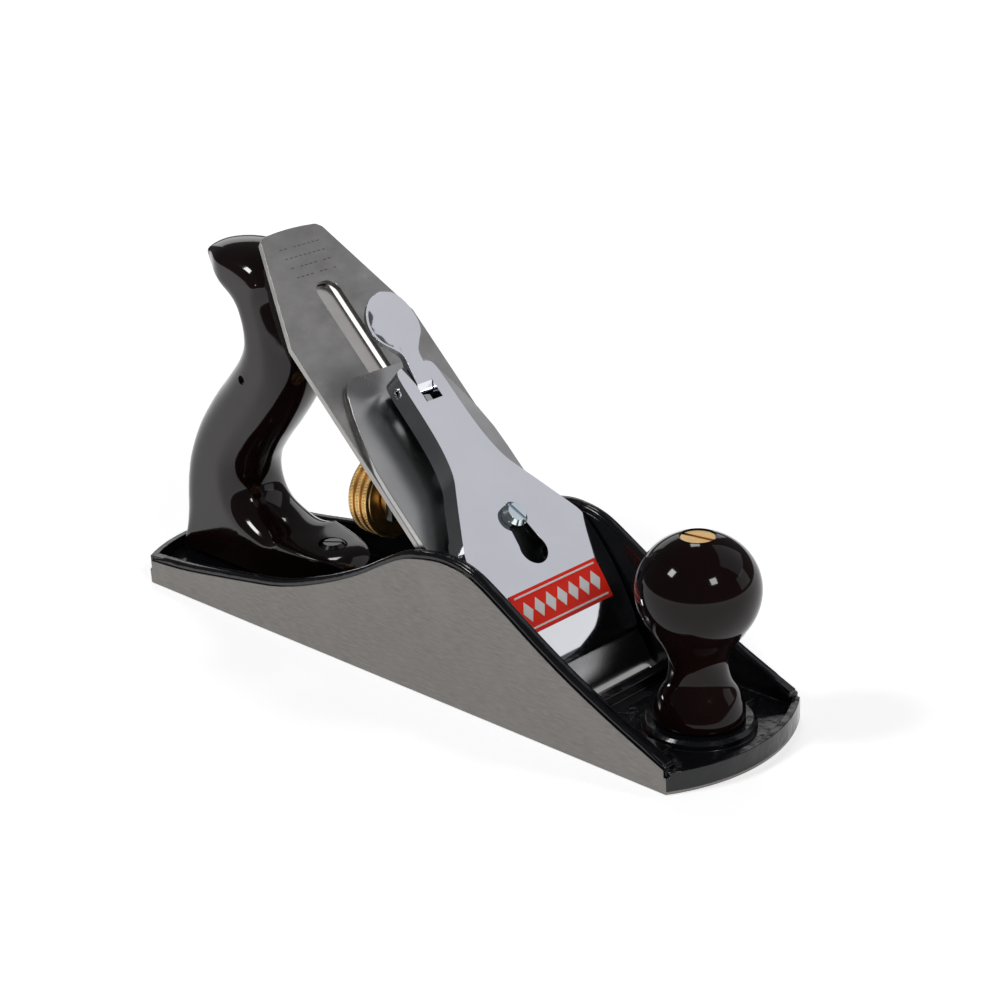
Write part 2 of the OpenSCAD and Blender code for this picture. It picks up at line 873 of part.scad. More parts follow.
// Front knob: ball on a waisted neck over a flared foot.
module knob() {
    ball_z = seat_knob_z + knob_h - knob_r + 1.2;
    waist = open_curve([[12.9, seat_knob_z + 0.9], [12.8, seat_knob_z + 4], [11.4, 15.6], [9.2, 19.4],
        [8.4, 23.6], [8.9, 27.6], [10.8, 31.4]], 4);
    ball = [for (a = [-50:6:88]) [knob_r * cos(a), ball_z + knob_r * sin(a) * (a > 0 ? 0.93 : 1)]];
    color("#160c0c")
        translate([knob_x, 0, 0])
            difference() {
                rotate_extrude($fn = 96)
                    polygon(concat([[0, seat_knob_z + 0.02], [12.2, seat_knob_z + 0.02]], waist, ball,
                        [[0, ball_z + knob_r * 0.93]]));
                cylinder(h = 90, r = 3.1);
                translate([0, 0, knob_top - knob_nut_sink - 0.02])
                    cylinder(h = 10, r = 4.9);
            }
}
knob_top = seat_knob_z + knob_h - knob_r + 1.2 + knob_r * 0.93;

module knob_stud() {
    color("gray")
        translate([knob_x, 0, 1.6])
            cylinder(h = knob_top - knob_nut_sink - 3, r = 2.98);
}

module knob_nut() {
    color("goldenrod")
        translate([knob_x, 0, knob_top - knob_nut_sink])
            rotate([0, 0, 8])
                difference() {
                    union() {
                        cylinder(h = 2.7, r = 4.8);
                        translate([0, 0, -7])
                            difference() {
                                cylinder(h = 7.1, r = 3.08);
                                translate([0, 0, -1])
                                    cylinder(h = 6.8, r = 3);
                            }
                    }
                    translate([-6, -0.65, 1.5])
                        cube([12, 1.3, 3]);
                }
}

sole_body();
frog();
frog_clamp_screws();
frog_washers();
frog_adjust_screw();
frog_clip();
frog_clip_screw();
yoke_lever();
yoke_pin();
depth_stud();
depth_nut_hub();
depth_nut_wheel();
lateral_lever();
lateral_pivot_pin();
lateral_roller();
lever_cap_screw();
plane_iron();
cap_iron();
cap_iron_screw();
lever_cap();
cap_badge();
cam_lever();
cam_pin();
cap_spring();
cap_spring_rivet();
tote();
tote_rod();
tote_nut();
tote_toe_screw();
knob();
knob_stud();
knob_nut();
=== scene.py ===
"""Bench smoothing plane: the finished looks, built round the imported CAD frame.

Every piece keeps the CAD frame's coordinates (metres, origin at rest) and rides
on a CAD body. Turned, cast and pressed parts are refined copies of their CAD
nodes. The handle, the knob, the crown of the cam's paddle, the cheek rims, the
knurling, the badge pattern and the blade's dashes are modelled here.
"""
import logging
import math
from dataclasses import dataclass, field
from enum import Enum
from typing import Callable, Dict, List, Optional, Sequence, Tuple

import bmesh
import bpy
from mathutils import Matrix, Vector
from mathutils.geometry import delaunay_2d_cdt


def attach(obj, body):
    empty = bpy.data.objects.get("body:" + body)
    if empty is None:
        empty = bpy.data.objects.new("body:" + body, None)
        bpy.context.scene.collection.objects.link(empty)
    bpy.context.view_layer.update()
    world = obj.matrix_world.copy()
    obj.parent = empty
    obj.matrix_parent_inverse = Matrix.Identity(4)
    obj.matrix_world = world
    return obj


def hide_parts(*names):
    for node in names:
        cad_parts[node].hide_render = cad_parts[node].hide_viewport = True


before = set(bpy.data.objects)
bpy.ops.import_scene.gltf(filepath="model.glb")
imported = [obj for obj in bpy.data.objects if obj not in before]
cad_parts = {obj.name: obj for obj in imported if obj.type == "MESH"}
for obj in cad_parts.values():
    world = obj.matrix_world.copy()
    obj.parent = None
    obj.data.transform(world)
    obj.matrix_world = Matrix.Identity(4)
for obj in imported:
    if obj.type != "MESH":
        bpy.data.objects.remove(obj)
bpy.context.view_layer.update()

logging.basicConfig(level=logging.INFO, format="%(levelname)s %(message)s")
LOG = logging.getLogger("plane")

MM = 0.001
SEED = 7
BED_COS = math.cos(math.radians(45.0))
EDGE_X = 62.0
HALF_LENGTH = 0.1225
END_RADIUS = 0.05304
END_FROM = 0.1128
END_BARE = (0.05288, 0.05294)
CHEEK_BARE = (0.02988, 0.02993)
SOLE_BARE = (-0.00016, -0.00010)
TOE_BARE_Z = 0.0009

Point2 = Tuple[float, float]


class Slot(Enum):
    """Material slots; each value is the name of its material."""

    JAPANNING = "black_japanning"
    IRON = "ground_iron"
    PLATED = "plated_steel"
    CHROME = "chrome_plate"
    BLUED = "blued_steel"
    SPRING = "spring_steel"
    BRASS = "brass"
    ENAMEL = "red_enamel"
    PLASTIC = "dark_plastic"
    SCREW = "dark_screw"


class Lay(Enum):
    """Direction a finish's fine lines run in."""

    NONE = "none"
    ACROSS = "across"
    ALONG = "along"


# --------------------------------------------------------------------------
# Finishes
# --------------------------------------------------------------------------


@dataclass(frozen=True)
class Finish:
    """One procedural finish, in linear colour and shader units."""

    colour: Tuple[float, float, float]
    second: Tuple[float, float, float]
    metallic: float = 0.0
    roughness: float = 0.3
    roughness_spread: float = 0.06
    coat: float = 0.0
    coat_roughness: float = 0.04
    specular: float = 0.5
    ior: float = 1.5
    grain_scale: float = 300.0
    blend_scale: float = 60.0
    bump: float = 0.0
    bump_scale: float = 400.0
    lump: float = 0.0
    lump_scale: float = 200.0
    lay: Lay = Lay.NONE
    anisotropy: float = 0.0


JAPANNING = Finish((0.0030, 0.0034, 0.0044), (0.0060, 0.0064, 0.0078), roughness=0.17, roughness_spread=0.10,
                   coat=0.12, coat_roughness=0.06, specular=0.36, bump=0.10, bump_scale=900.0, lump=0.60,
                   lump_scale=250.0)
GROUND = Finish((0.188, 0.178, 0.167), (0.240, 0.228, 0.214), metallic=0.85, roughness=0.48, roughness_spread=0.12,
                bump=0.16, bump_scale=1500.0, lay=Lay.ALONG, specular=0.4)
PLATED = Finish((0.50, 0.55, 0.58), (0.62, 0.67, 0.70), metallic=1.0, roughness=0.24, roughness_spread=0.12,
                bump=0.05, bump_scale=1500.0)
CHROME = Finish((0.76, 0.77, 0.81), (0.82, 0.83, 0.87), metallic=1.0, roughness=0.05, roughness_spread=0.03,
                bump=0.010, bump_scale=500.0, blend_scale=30.0)
BLADE = Finish((0.300, 0.292, 0.280), (0.405, 0.395, 0.380), metallic=1.0, roughness=0.34, roughness_spread=0.12,
               bump=0.14, bump_scale=2600.0, lay=Lay.ACROSS, anisotropy=0.5)
BLUED = Finish((0.38, 0.38, 0.375), (0.50, 0.50, 0.49), metallic=1.0, roughness=0.26, roughness_spread=0.12,
               bump=0.05, bump_scale=1600.0, blend_scale=45.0)
SPRING = Finish((0.060, 0.064, 0.072), (0.10, 0.105, 0.115), metallic=1.0, roughness=0.30, roughness_spread=0.12,
                bump=0.04, bump_scale=1400.0)
BRASS = Finish((0.72, 0.44, 0.15), (0.84, 0.56, 0.23), metallic=1.0, roughness=0.33, roughness_spread=0.12,
               bump=0.06, bump_scale=1400.0)
ENAMEL = Finish((0.86, 0.020, 0.007), (0.94, 0.030, 0.011), roughness=0.36, roughness_spread=0.08, coat=0.0,
                specular=0.16, bump=0.06, bump_scale=700.0)
PALE = Finish((0.74, 0.73, 0.72), (0.84, 0.83, 0.82), roughness=0.38, roughness_spread=0.08, specular=0.4, bump=0.03,
              bump_scale=900.0)
PLASTIC = Finish((0.0034, 0.0018, 0.0020), (0.0088, 0.0030, 0.0030), roughness=0.085, roughness_spread=0.04,
                 coat=0.10, coat_roughness=0.03, specular=0.38, bump=0.006, bump_scale=120.0, lump=0.02,
                 lump_scale=45.0, blend_scale=28.0)
GLOSS_BALL = Finish((0.0034, 0.0018, 0.0020), (0.0092, 0.0030, 0.0030), roughness=0.07, roughness_spread=0.04,
                    coat=0.05, coat_roughness=0.03, specular=0.20, bump=0.006, bump_scale=120.0, lump=0.02,
                    lump_scale=45.0, blend_scale=28.0)
ZINC = Finish((0.70, 0.78, 0.82), (0.80, 0.88, 0.90), metallic=1.0, roughness=0.14, roughness_spread=0.08,
              bump=0.04, bump_scale=900.0)
STEM = Finish((0.50, 0.475, 0.445), (0.60, 0.575, 0.545), metallic=1.0, roughness=0.20, roughness_spread=0.10,
              bump=0.05, bump_scale=1300.0)
DARK_SCREW = Finish((0.006, 0.006, 0.008), (0.016, 0.016, 0.018), metallic=0.3, roughness=0.22, roughness_spread=0.12,
                    coat=0.1, coat_roughness=0.08, bump=0.06, bump_scale=1200.0)
MARKS = Finish((0.13, 0.125, 0.12), (0.20, 0.195, 0.185), metallic=0.9, roughness=0.5, roughness_spread=0.1,
               bump=0.05, bump_scale=2400.0)


class NodeBench:
    """Adds and wires the nodes of one tree."""

    tree: bpy.types.NodeTree

    def add(self, kind: str, settings: Optional[dict] = None, **inputs: object) -> bpy.types.Node:
        """Adds one node.

        Args:
            kind: Blender's node type name.
            settings: Attributes set on the node.
            **inputs: Input values or sockets by input name, spaces as underscores.

        Returns:
            The new node.
        """
        node = self.tree.nodes.new(kind)
        for key, value in (settings or {}).items():
            setattr(node, key, value)
        for key, value in inputs.items():
            self.put(node.inputs[key.replace("_", " ")], value)
        return node

    def put(self, target: bpy.types.NodeSocket, value: object) -> None:
        """Links a socket or sets a constant."""
        if isinstance(value, bpy.types.NodeSocket):
            self.tree.links.new(value, target)
        else:
            target.default_value = value


class Graph(NodeBench):
    """One material's nodes."""

    def __init__(self, name: str) -> None:
        """Starts an empty material."""
        self.material = bpy.data.materials.new(name)
        self.material.use_nodes = True
        self.tree = self.material.node_tree
        self.tree.nodes.clear()
        self.coords = self.add("ShaderNodeTexCoord").outputs["Object"]

    def math(self, operation: str, *values: object) -> bpy.types.NodeSocket:
        """One arithmetic node over sockets or numbers.

        Args:
            operation: Name of the Math node's operation.
            *values: Sockets or numbers, in order.

        Returns:
            The result socket.
        """
        node = self.add("ShaderNodeMath", {"operation": operation})
        for target, value in zip(node.inputs, values):
            self.put(target, value)
        return node.outputs[0]

    def noise(self, scale: float, detail: float, vector: Optional[bpy.types.NodeSocket] = None,
              rough: float = 0.55) -> bpy.types.NodeSocket:
        """Noise height at object coordinates.

        Args:
            scale: Noise scale.
            detail: Octaves.
            vector: Where to read it, or None for the object coordinates.
            rough: Roughness of the octaves.

        Returns:
            The height socket.
        """
        return self.add("ShaderNodeTexNoise", Vector=vector or self.coords, Scale=scale, Detail=detail,
                        Roughness=rough).outputs["Fac"]

    def mix_colour(self, fac: object, one: object, two: object) -> bpy.types.NodeSocket:
        """Blends two colours by a factor socket.

        Args:
            fac: Share of the second colour.
            one: First colour or socket.
            two: Second colour or socket.

        Returns:
            The blended colour.
        """
        node = self.add("ShaderNodeMix", {"data_type": "RGBA"})
        self.put(node.inputs[0], fac)
        for target, value in ((node.inputs[6], one), (node.inputs[7], two)):
            self.put(target, value if isinstance(value, bpy.types.NodeSocket) else (*value, 1.0))
        return node.outputs[2]

    def ramp(self, value: object, low: float, high: float) -> bpy.types.NodeSocket:
        """Clamped 0-1 ramp between two values of a socket.

        Args:
            value: Socket to read.
            low: Value that gives 0.
            high: Value that gives 1.

        Returns:
            The ramp socket.
        """
        return self.add("ShaderNodeMapRange", {"clamp": True}, Value=value, From_Min=low,
                        From_Max=high).outputs["Result"]


class FinishMaker:
    """Builds and keeps one material per finish."""

    def __init__(self) -> None:
        """Starts with nothing made."""
        self._made: Dict[str, bpy.types.Material] = {}

    def get(self, name: str, finish: Finish) -> bpy.types.Material:
        """Returns the material of a finish, made once.

        Args:
            name: Material name.
            finish: Its finish.

        Returns:
            The material.
        """
        if name not in self._made:
            graph = Graph(name)
            surface = self.shader(graph, finish)
            graph.add("ShaderNodeOutputMaterial", Surface=surface)
            self._made[name] = graph.material
            LOG.info("finish %s made", name)
        return self._made[name]

    def cast_body(self, name: str) -> bpy.types.Material:
        """The sole's finish: japanning inside, ground metal on the outer faces.

        Args:
            name: Material name.

        Returns:
            The material.
        """
        if name in self._made:
            return self._made[name]
        graph = Graph(name)
        split = graph.add("ShaderNodeSeparateXYZ", Vector=graph.coords)
        x, y, z = (split.outputs[k] for k in range(3))
        wobble = graph.math("MULTIPLY", graph.math("SUBTRACT", graph.noise(220.0, 3.0), 0.5), 0.00012)
        side = graph.ramp(graph.math("ADD", graph.math("ABSOLUTE", y), wobble), *CHEEK_BARE)
        under = graph.ramp(graph.math("SUBTRACT", wobble, z), *SOLE_BARE)
        at_heel = graph.math("MULTIPLY", graph.math("LESS_THAN", x, -END_FROM), self.end_face(graph, x, y, -1))
        low = graph.math("LESS_THAN", graph.math("ADD", z, wobble), TOE_BARE_Z)
        at_toe = graph.math("MULTIPLY", graph.math("GREATER_THAN", x, END_FROM),
                            graph.math("MULTIPLY", self.end_face(graph, x, y, 1), low))
        bare = graph.math("MAXIMUM", graph.math("MAXIMUM", side, under), graph.math("MAXIMUM", at_heel, at_toe))
        mix = graph.add("ShaderNodeMixShader")
        graph.put(mix.inputs[0], bare)
        graph.put(mix.inputs[1], self.shader(graph, JAPANNING))
        graph.put(mix.inputs[2], self.shader(graph, GROUND))
        graph.add("ShaderNodeOutputMaterial", Surface=mix.outputs[0])
        self._made[name] = graph.material
        LOG.info("finish %s made", name)
        return graph.material

    @staticmethod
    def end_face(graph: Graph, x: bpy.types.NodeSocket, y: bpy.types.NodeSocket, end: int) -> bpy.types.NodeSocket:
        """Mask of one bowed end face.

        Args:
            graph: The material's graph.
            x: Distance along the body.
            y: Distance across it.
            end: 1 for the toe, -1 for the heel.

        Returns:
            A socket that is 1 on the face.
        """
        along = graph.math("SUBTRACT", x, end * (HALF_LENGTH - END_RADIUS))
        radius = graph.math("SQRT", graph.math("ADD", graph.math("POWER", along, 2.0), graph.math("POWER", y, 2.0)))
        return graph.ramp(radius, *END_BARE)

    def shader(self, graph: Graph, finish: Finish) -> bpy.types.NodeSocket:
        """Wires one principled shader for a finish.

        Args:
            graph: The material's graph.
            finish: Colours and sizes.

        Returns:
            The shader socket.
        """
        broad = graph.noise(finish.blend_scale, 4.0)
        tone = graph.ramp(broad, 0.32, 0.68)
        base = graph.mix_colour(tone, finish.colour, finish.second)
        grain_at = graph.coords
        if finish.lay is not Lay.NONE:
            tilt, stretch = ((45.0, (1.0, 0.035, 0.05)) if finish.lay is Lay.ACROSS else (0.0, (0.16, 1.0, 1.0)))
            turned = graph.add("ShaderNodeMapping", Vector=graph.coords)
            turned.inputs["Rotation"].default_value = (0.0, math.radians(tilt), 0.0)
            stretched = graph.add("ShaderNodeMapping", Vector=turned.outputs[0])
            stretched.inputs["Scale"].default_value = stretch
            grain_at = stretched.outputs[0]
        fine = graph.noise(finish.bump_scale, 5.0, grain_at, 0.6)
        if finish.lay is not Lay.NONE:
            shade = graph.ramp(fine, 0.25, 0.75)
            lighter = tuple(min(1.0, c * 1.13) for c in finish.second)
            darker = tuple(c * 0.88 for c in finish.colour)
            base = graph.mix_colour(graph.math("MULTIPLY", tone, 0.5), graph.mix_colour(shade, darker, lighter), base)
        smudge = graph.noise(finish.grain_scale * 0.12, 6.0, rough=0.65)
        rough = graph.math("ADD", finish.roughness - finish.roughness_spread / 2,
                           graph.math("MULTIPLY", graph.math("ADD", graph.math("MULTIPLY", smudge, 0.7),
                                                             graph.math("MULTIPLY", fine, 0.3)),
                                      finish.roughness_spread))
        bump = graph.add("ShaderNodeBump", Height=fine, Strength=finish.bump, Distance=0.00006)
        if finish.lump:
            cast = graph.noise(finish.lump_scale, 2.0, rough=0.4)
            bump = graph.add("ShaderNodeBump", Height=cast, Strength=finish.lump, Distance=0.00045,
                             Normal=bump.outputs[0])
        bsdf = graph.add("ShaderNodeBsdfPrincipled", Base_Color=base, Metallic=finish.metallic, Roughness=rough,
                         Normal=bump.outputs[0])
        bsdf.inputs["IOR"].default_value = finish.ior
        bsdf.inputs["Specular IOR Level"].default_value = finish.specular
        bsdf.inputs["Coat Weight"].default_value = finish.coat
        bsdf.inputs["Coat Roughness"].default_value = finish.coat_roughness
        bsdf.inputs["Sheen Weight"].default_value = 0.0
        bsdf.inputs["Anisotropic"].default_value = finish.anisotropy
        return bsdf.outputs[0]


FINISHES: Dict[Slot, Finish] = {
    Slot.JAPANNING: JAPANNING, Slot.IRON: BLADE, Slot.PLATED: PLATED, Slot.CHROME: CHROME, Slot.BLUED: BLUED,
    Slot.SPRING: SPRING, Slot.BRASS: BRASS, Slot.ENAMEL: ENAMEL, Slot.PLASTIC: PLASTIC, Slot.SCREW: DARK_SCREW,
}


# --------------------------------------------------------------------------
# Mesh helpers
# --------------------------------------------------------------------------


def bed_point(s: float, y: float, n: float) -> Vector:
    """World point in metres of a place on the bed, in millimetres.

    Args:
        s: Distance up the bed from the cutting edge.
        y: Distance across, in the bed's frame.
        n: Distance out of the iron's face.

    Returns:
        The world point.
    """
    return Vector((EDGE_X - s * BED_COS + n * BED_COS, -y, s * BED_COS + n * BED_COS)) * MM


def catmull(points: Sequence[Point2], steps: int, closed: bool) -> List[Point2]:
    """Catmull-Rom curve through points.

    Args:
        points: Points to pass through.
        steps: Pieces per span.
        closed: Whether the last point joins the first.

    Returns:
        The finer line.
    """
    count = len(points)
    spans = count if closed else count - 1
    out: List[Point2] = []
    for i in range(spans):
        if closed:
            a, b, c, d = (points[(i + k - 1) % count] for k in range(4))
        else:
            a, b, c, d = (points[min(max(i + k - 1, 0), count - 1)] for k in range(4))
        for step in range(steps):
            t = step / steps
            out.append(tuple(0.5 * (2 * b[k] + (c[k] - a[k]) * t + (2 * a[k] - 5 * b[k] + 4 * c[k] - d[k]) * t * t
                                    + (3 * b[k] - a[k] - 3 * c[k] + d[k]) * t ** 3) for k in (0, 1)))
    if not closed:
        out.append(tuple(points[-1]))
    return out


def mesh_object(name: str, verts: Sequence[Sequence[float]], faces: Sequence[Sequence[int]],
                smooth_angle: float = 40.0) -> bpy.types.Object:
    """Object at the origin from plain vertices and faces, faces turned outward.

    Args:
        name: Object name.
        verts: Vertices in metres.
        faces: Vertex indices of each face.
        smooth_angle: Angle above which edges stay sharp.

    Returns:
        The object.
    """
    mesh = bpy.data.meshes.new(name)
    mesh.from_pydata([tuple(v) for v in verts], [], [tuple(f) for f in faces])
    return finish_mesh(name, mesh, smooth_angle)


def finish_mesh(name: str, mesh: bpy.types.Mesh, smooth_angle: float) -> bpy.types.Object:
    """Cleans a mesh, marks its sharp edges and puts it in an object at the origin.

    Args:
        name: Object name.
        mesh: Mesh to clean.
        smooth_angle: Angle above which edges stay sharp.

    Returns:
        The object.
    """
    bm = bmesh.new()
    bm.from_mesh(mesh)
    bmesh.ops.remove_doubles(bm, verts=bm.verts, dist=1e-6)
    bmesh.ops.recalc_face_normals(bm, faces=bm.faces)
    shade(bm, smooth_angle)
    bm.to_mesh(mesh)
    bm.free()
    mesh.name = name
    obj = bpy.data.objects.new(name, mesh)
    bpy.context.scene.collection.objects.link(obj)
    return obj


def shade(bm: bmesh.types.BMesh, angle: float) -> None:
    """Smooth faces with sharp edges above an angle in degrees."""
    limit = math.radians(angle)
    for face in bm.faces:
        face.smooth = True
    for edge in bm.edges:
        edge.smooth = len(edge.link_faces) == 2 and edge.calc_face_angle(0.0) < limit


def baked(obj: bpy.types.Object) -> bpy.types.Object:
    """Replaces an object's modifiers by the plain mesh they give."""
    bpy.context.view_layer.update()
    graph = bpy.context.evaluated_depsgraph_get()
    mesh = bpy.data.meshes.new_from_object(obj.evaluated_get(graph), depsgraph=graph)
    obj.modifiers.clear()
    obj.data = mesh
    mesh.name = obj.name
    return obj


def rounded(obj: bpy.types.Object, width: float, segments: int = 2, angle: float = 32.0) -> bpy.types.Object:
    """Small bevel on hard edges, with face-weighted normals, applied.

    Args:
        obj: Object to bevel.
        width: Bevel width in millimetres.
        segments: Bevel segments.
        angle: Edge angle from which it applies.

    Returns:
        The same object.
    """
    bevel = obj.modifiers.new("edge", "BEVEL")
    bevel.width = width * MM
    bevel.segments = segments
    bevel.limit_method = "ANGLE"
    bevel.angle_limit = math.radians(angle)
    bevel.use_clamp_overlap = True
    bevel.miter_outer = "MITER_ARC"
    bevel.harden_normals = False
    weighted = obj.modifiers.new("weight", "WEIGHTED_NORMAL")
    weighted.keep_sharp = True
    weighted.weight = 60
    return baked(obj)


def bed_cut(obj: bpy.types.Object, tool: bpy.types.Object) -> bpy.types.Object:
    """Cuts a tool's volume out of an object and removes the tool.

    Args:
        obj: Object to cut.
        tool: Cutter.

    Returns:
        The same object.
    """
    cut = obj.modifiers.new("cut", "BOOLEAN")
    cut.operation = "DIFFERENCE"
    cut.solver = "EXACT"
    cut.object = tool
    baked(obj)
    bpy.data.objects.remove(tool, do_unlink=True)
    return obj


def rod_tool(start: Vector, end: Vector, radius: float, sides: int = 64) -> bpy.types.Object:
    """Temporary cutter: a round bar between two points in metres.

    Args:
        start: Centre of one end.
        end: Centre of the other end.
        radius: Radius in metres.
        sides: Facets round it.

    Returns:
        The cutter.
    """
    axis = (end - start).normalized()
    across = axis.orthogonal().normalized()
    up = axis.cross(across)
    verts, faces = [], []
    for base in (start, end):
        for k in range(sides):
            a = 2 * math.pi * k / sides
            verts.append(base + (across * math.cos(a) + up * math.sin(a)) * radius)
    for k in range(sides):
        n = (k + 1) % sides
        faces.append((k, n, sides + n, sides + k))
    faces.append(tuple(reversed(range(sides))))
    faces.append(tuple(range(sides, 2 * sides)))
    return mesh_object("cutter", verts, faces)


# --------------------------------------------------------------------------
# Geometry Nodes
# --------------------------------------------------------------------------


class NodeTree(NodeBench):
    """A Geometry Nodes tree with named inputs, baked to a plain mesh."""

    def __init__(self, name: str) -> None:
        """Starts an empty tree."""
        self.tree = bpy.data.node_groups.new(name, "GeometryNodeTree")
        self.tree.interface.new_socket(name="Geometry", in_out="INPUT", socket_type="NodeSocketGeometry")
        self.values: Dict[str, object] = {}
        self.names: Dict[str, str] = {}

    def ask(self, name: str, kind: str, value: object) -> None:
        """Adds a named input and the value it gets on the modifier.

        Args:
            name: Input name.
            kind: Socket type.
            value: Its value.
        """
        socket = self.tree.interface.new_socket(name=name, in_out="INPUT", socket_type=kind)
        self.names[name] = socket.identifier
        self.values[name] = value

    def open(self) -> None:
        """Adds the group's ends once every input is declared."""
        self.tree.interface.new_socket(name="Geometry", in_out="OUTPUT", socket_type="NodeSocketGeometry")
        self.inputs = self.tree.nodes.new("NodeGroupInput").outputs
        self.result = self.tree.nodes.new("NodeGroupOutput")

    def close(self, geometry: bpy.types.NodeSocket, material: bpy.types.NodeSocket) -> None:
        """Ends the tree in Realize Instances and Set Material.

        Args:
            geometry: Finished geometry.
            material: Material socket.
        """
        real = self.add("GeometryNodeRealizeInstances", Geometry=geometry)
        painted = self.add("GeometryNodeSetMaterial", Geometry=real.outputs[0], Material=material)
        self.put(self.result.inputs[0], painted.outputs[0])

    def bake(self, name: str, place: Callable[[Vector], Vector], smooth_angle: float = 40.0) -> bpy.types.Object:
        """Runs the tree on an empty mesh and places its vertices.

        Args:
            name: Name of the piece.
            place: Maps a vertex of the tree's result to the world.
            smooth_angle: Angle above which edges stay sharp.

        Returns:
            The placed plain mesh object.
        """
        host = bpy.data.objects.new(name + "_host", bpy.data.meshes.new(name + "_host"))
        bpy.context.scene.collection.objects.link(host)
        modifier = host.modifiers.new("nodes", "NODES")
        modifier.node_group = self.tree
        for key, value in self.values.items():
            modifier[self.names[key]] = value
        bpy.context.view_layer.update()
        graph = bpy.context.evaluated_depsgraph_get()
        mesh = bpy.data.meshes.new_from_object(host.evaluated_get(graph), depsgraph=graph)
        for vertex in mesh.vertices:
            vertex.co = place(vertex.co.copy())
        bpy.data.objects.remove(host, do_unlink=True)
        return finish_mesh(name, mesh, smooth_angle)


# --------------------------------------------------------------------------
# Pieces
# --------------------------------------------------------------------------


@dataclass
class Refined:
    """A CAD node shown as a refined copy of its own mesh."""

    node: str
    body: str
    slot: Slot
    edge: float = 0.2
    angle: float = 32.0
    segments: int = 2


@dataclass
class Piece:
    """A finished piece and where it belongs."""

    obj: bpy.types.Object
    body: str
    slot: Slot
    replaces: Tuple[str, ...] = ()
    material: Optional[bpy.types.Material] = None


class Workshop:
    """Finishes pieces and parents them to their bodies."""

    def __init__(self, finishes: FinishMaker) -> None:
        """Keeps the finishes at hand."""
        self.finishes = finishes

    def hand_over(self, piece: Piece) -> bpy.types.Object:
        """Gives a piece its material, chosen by its slot unless one is given, parents it to its body and hides the
        CAD nodes it replaces.

        Args:
            piece: The piece and its place.

        Returns:
            Its object.
        """
        obj = piece.obj
        material = piece.material or self.finishes.get(piece.slot.value, FINISHES[piece.slot])
        obj.data.materials.clear()
        obj.data.materials.append(material)
        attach(obj, piece.body)
        if piece.replaces:
            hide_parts(*piece.replaces)
        LOG.info("piece %s: %d faces on %s", obj.name, len(obj.data.polygons), piece.body)
        return obj

    def refine(self, spec: Refined) -> bpy.types.Object:
        """Clean, bevelled copy of a CAD node in the node's own place.

        Args:
            spec: Node and bevel sizes.

        Returns:
            The refined copy.
        """
        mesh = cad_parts[spec.node].data.copy()
        bm = bmesh.new()
        bm.from_mesh(mesh)
        bmesh.ops.remove_doubles(bm, verts=bm.verts, dist=2e-6)
        bmesh.ops.dissolve_degenerate(bm, dist=1e-6, edges=bm.edges)
        bmesh.ops.dissolve_limit(bm, angle_limit=math.radians(0.5), verts=bm.verts, edges=bm.edges,
                                 use_dissolve_boundaries=False, delimit={"NORMAL"})
        bmesh.ops.recalc_face_normals(bm, faces=bm.faces)
        shade(bm, spec.angle)
        clean = bpy.data.meshes.new(spec.node + "_fine")
        bm.to_mesh(clean)
        bm.free()
        obj = bpy.data.objects.new(spec.node + "_fine", clean)
        bpy.context.scene.collection.objects.link(obj)
        rounded(obj, spec.edge, spec.segments, spec.angle)
        return obj


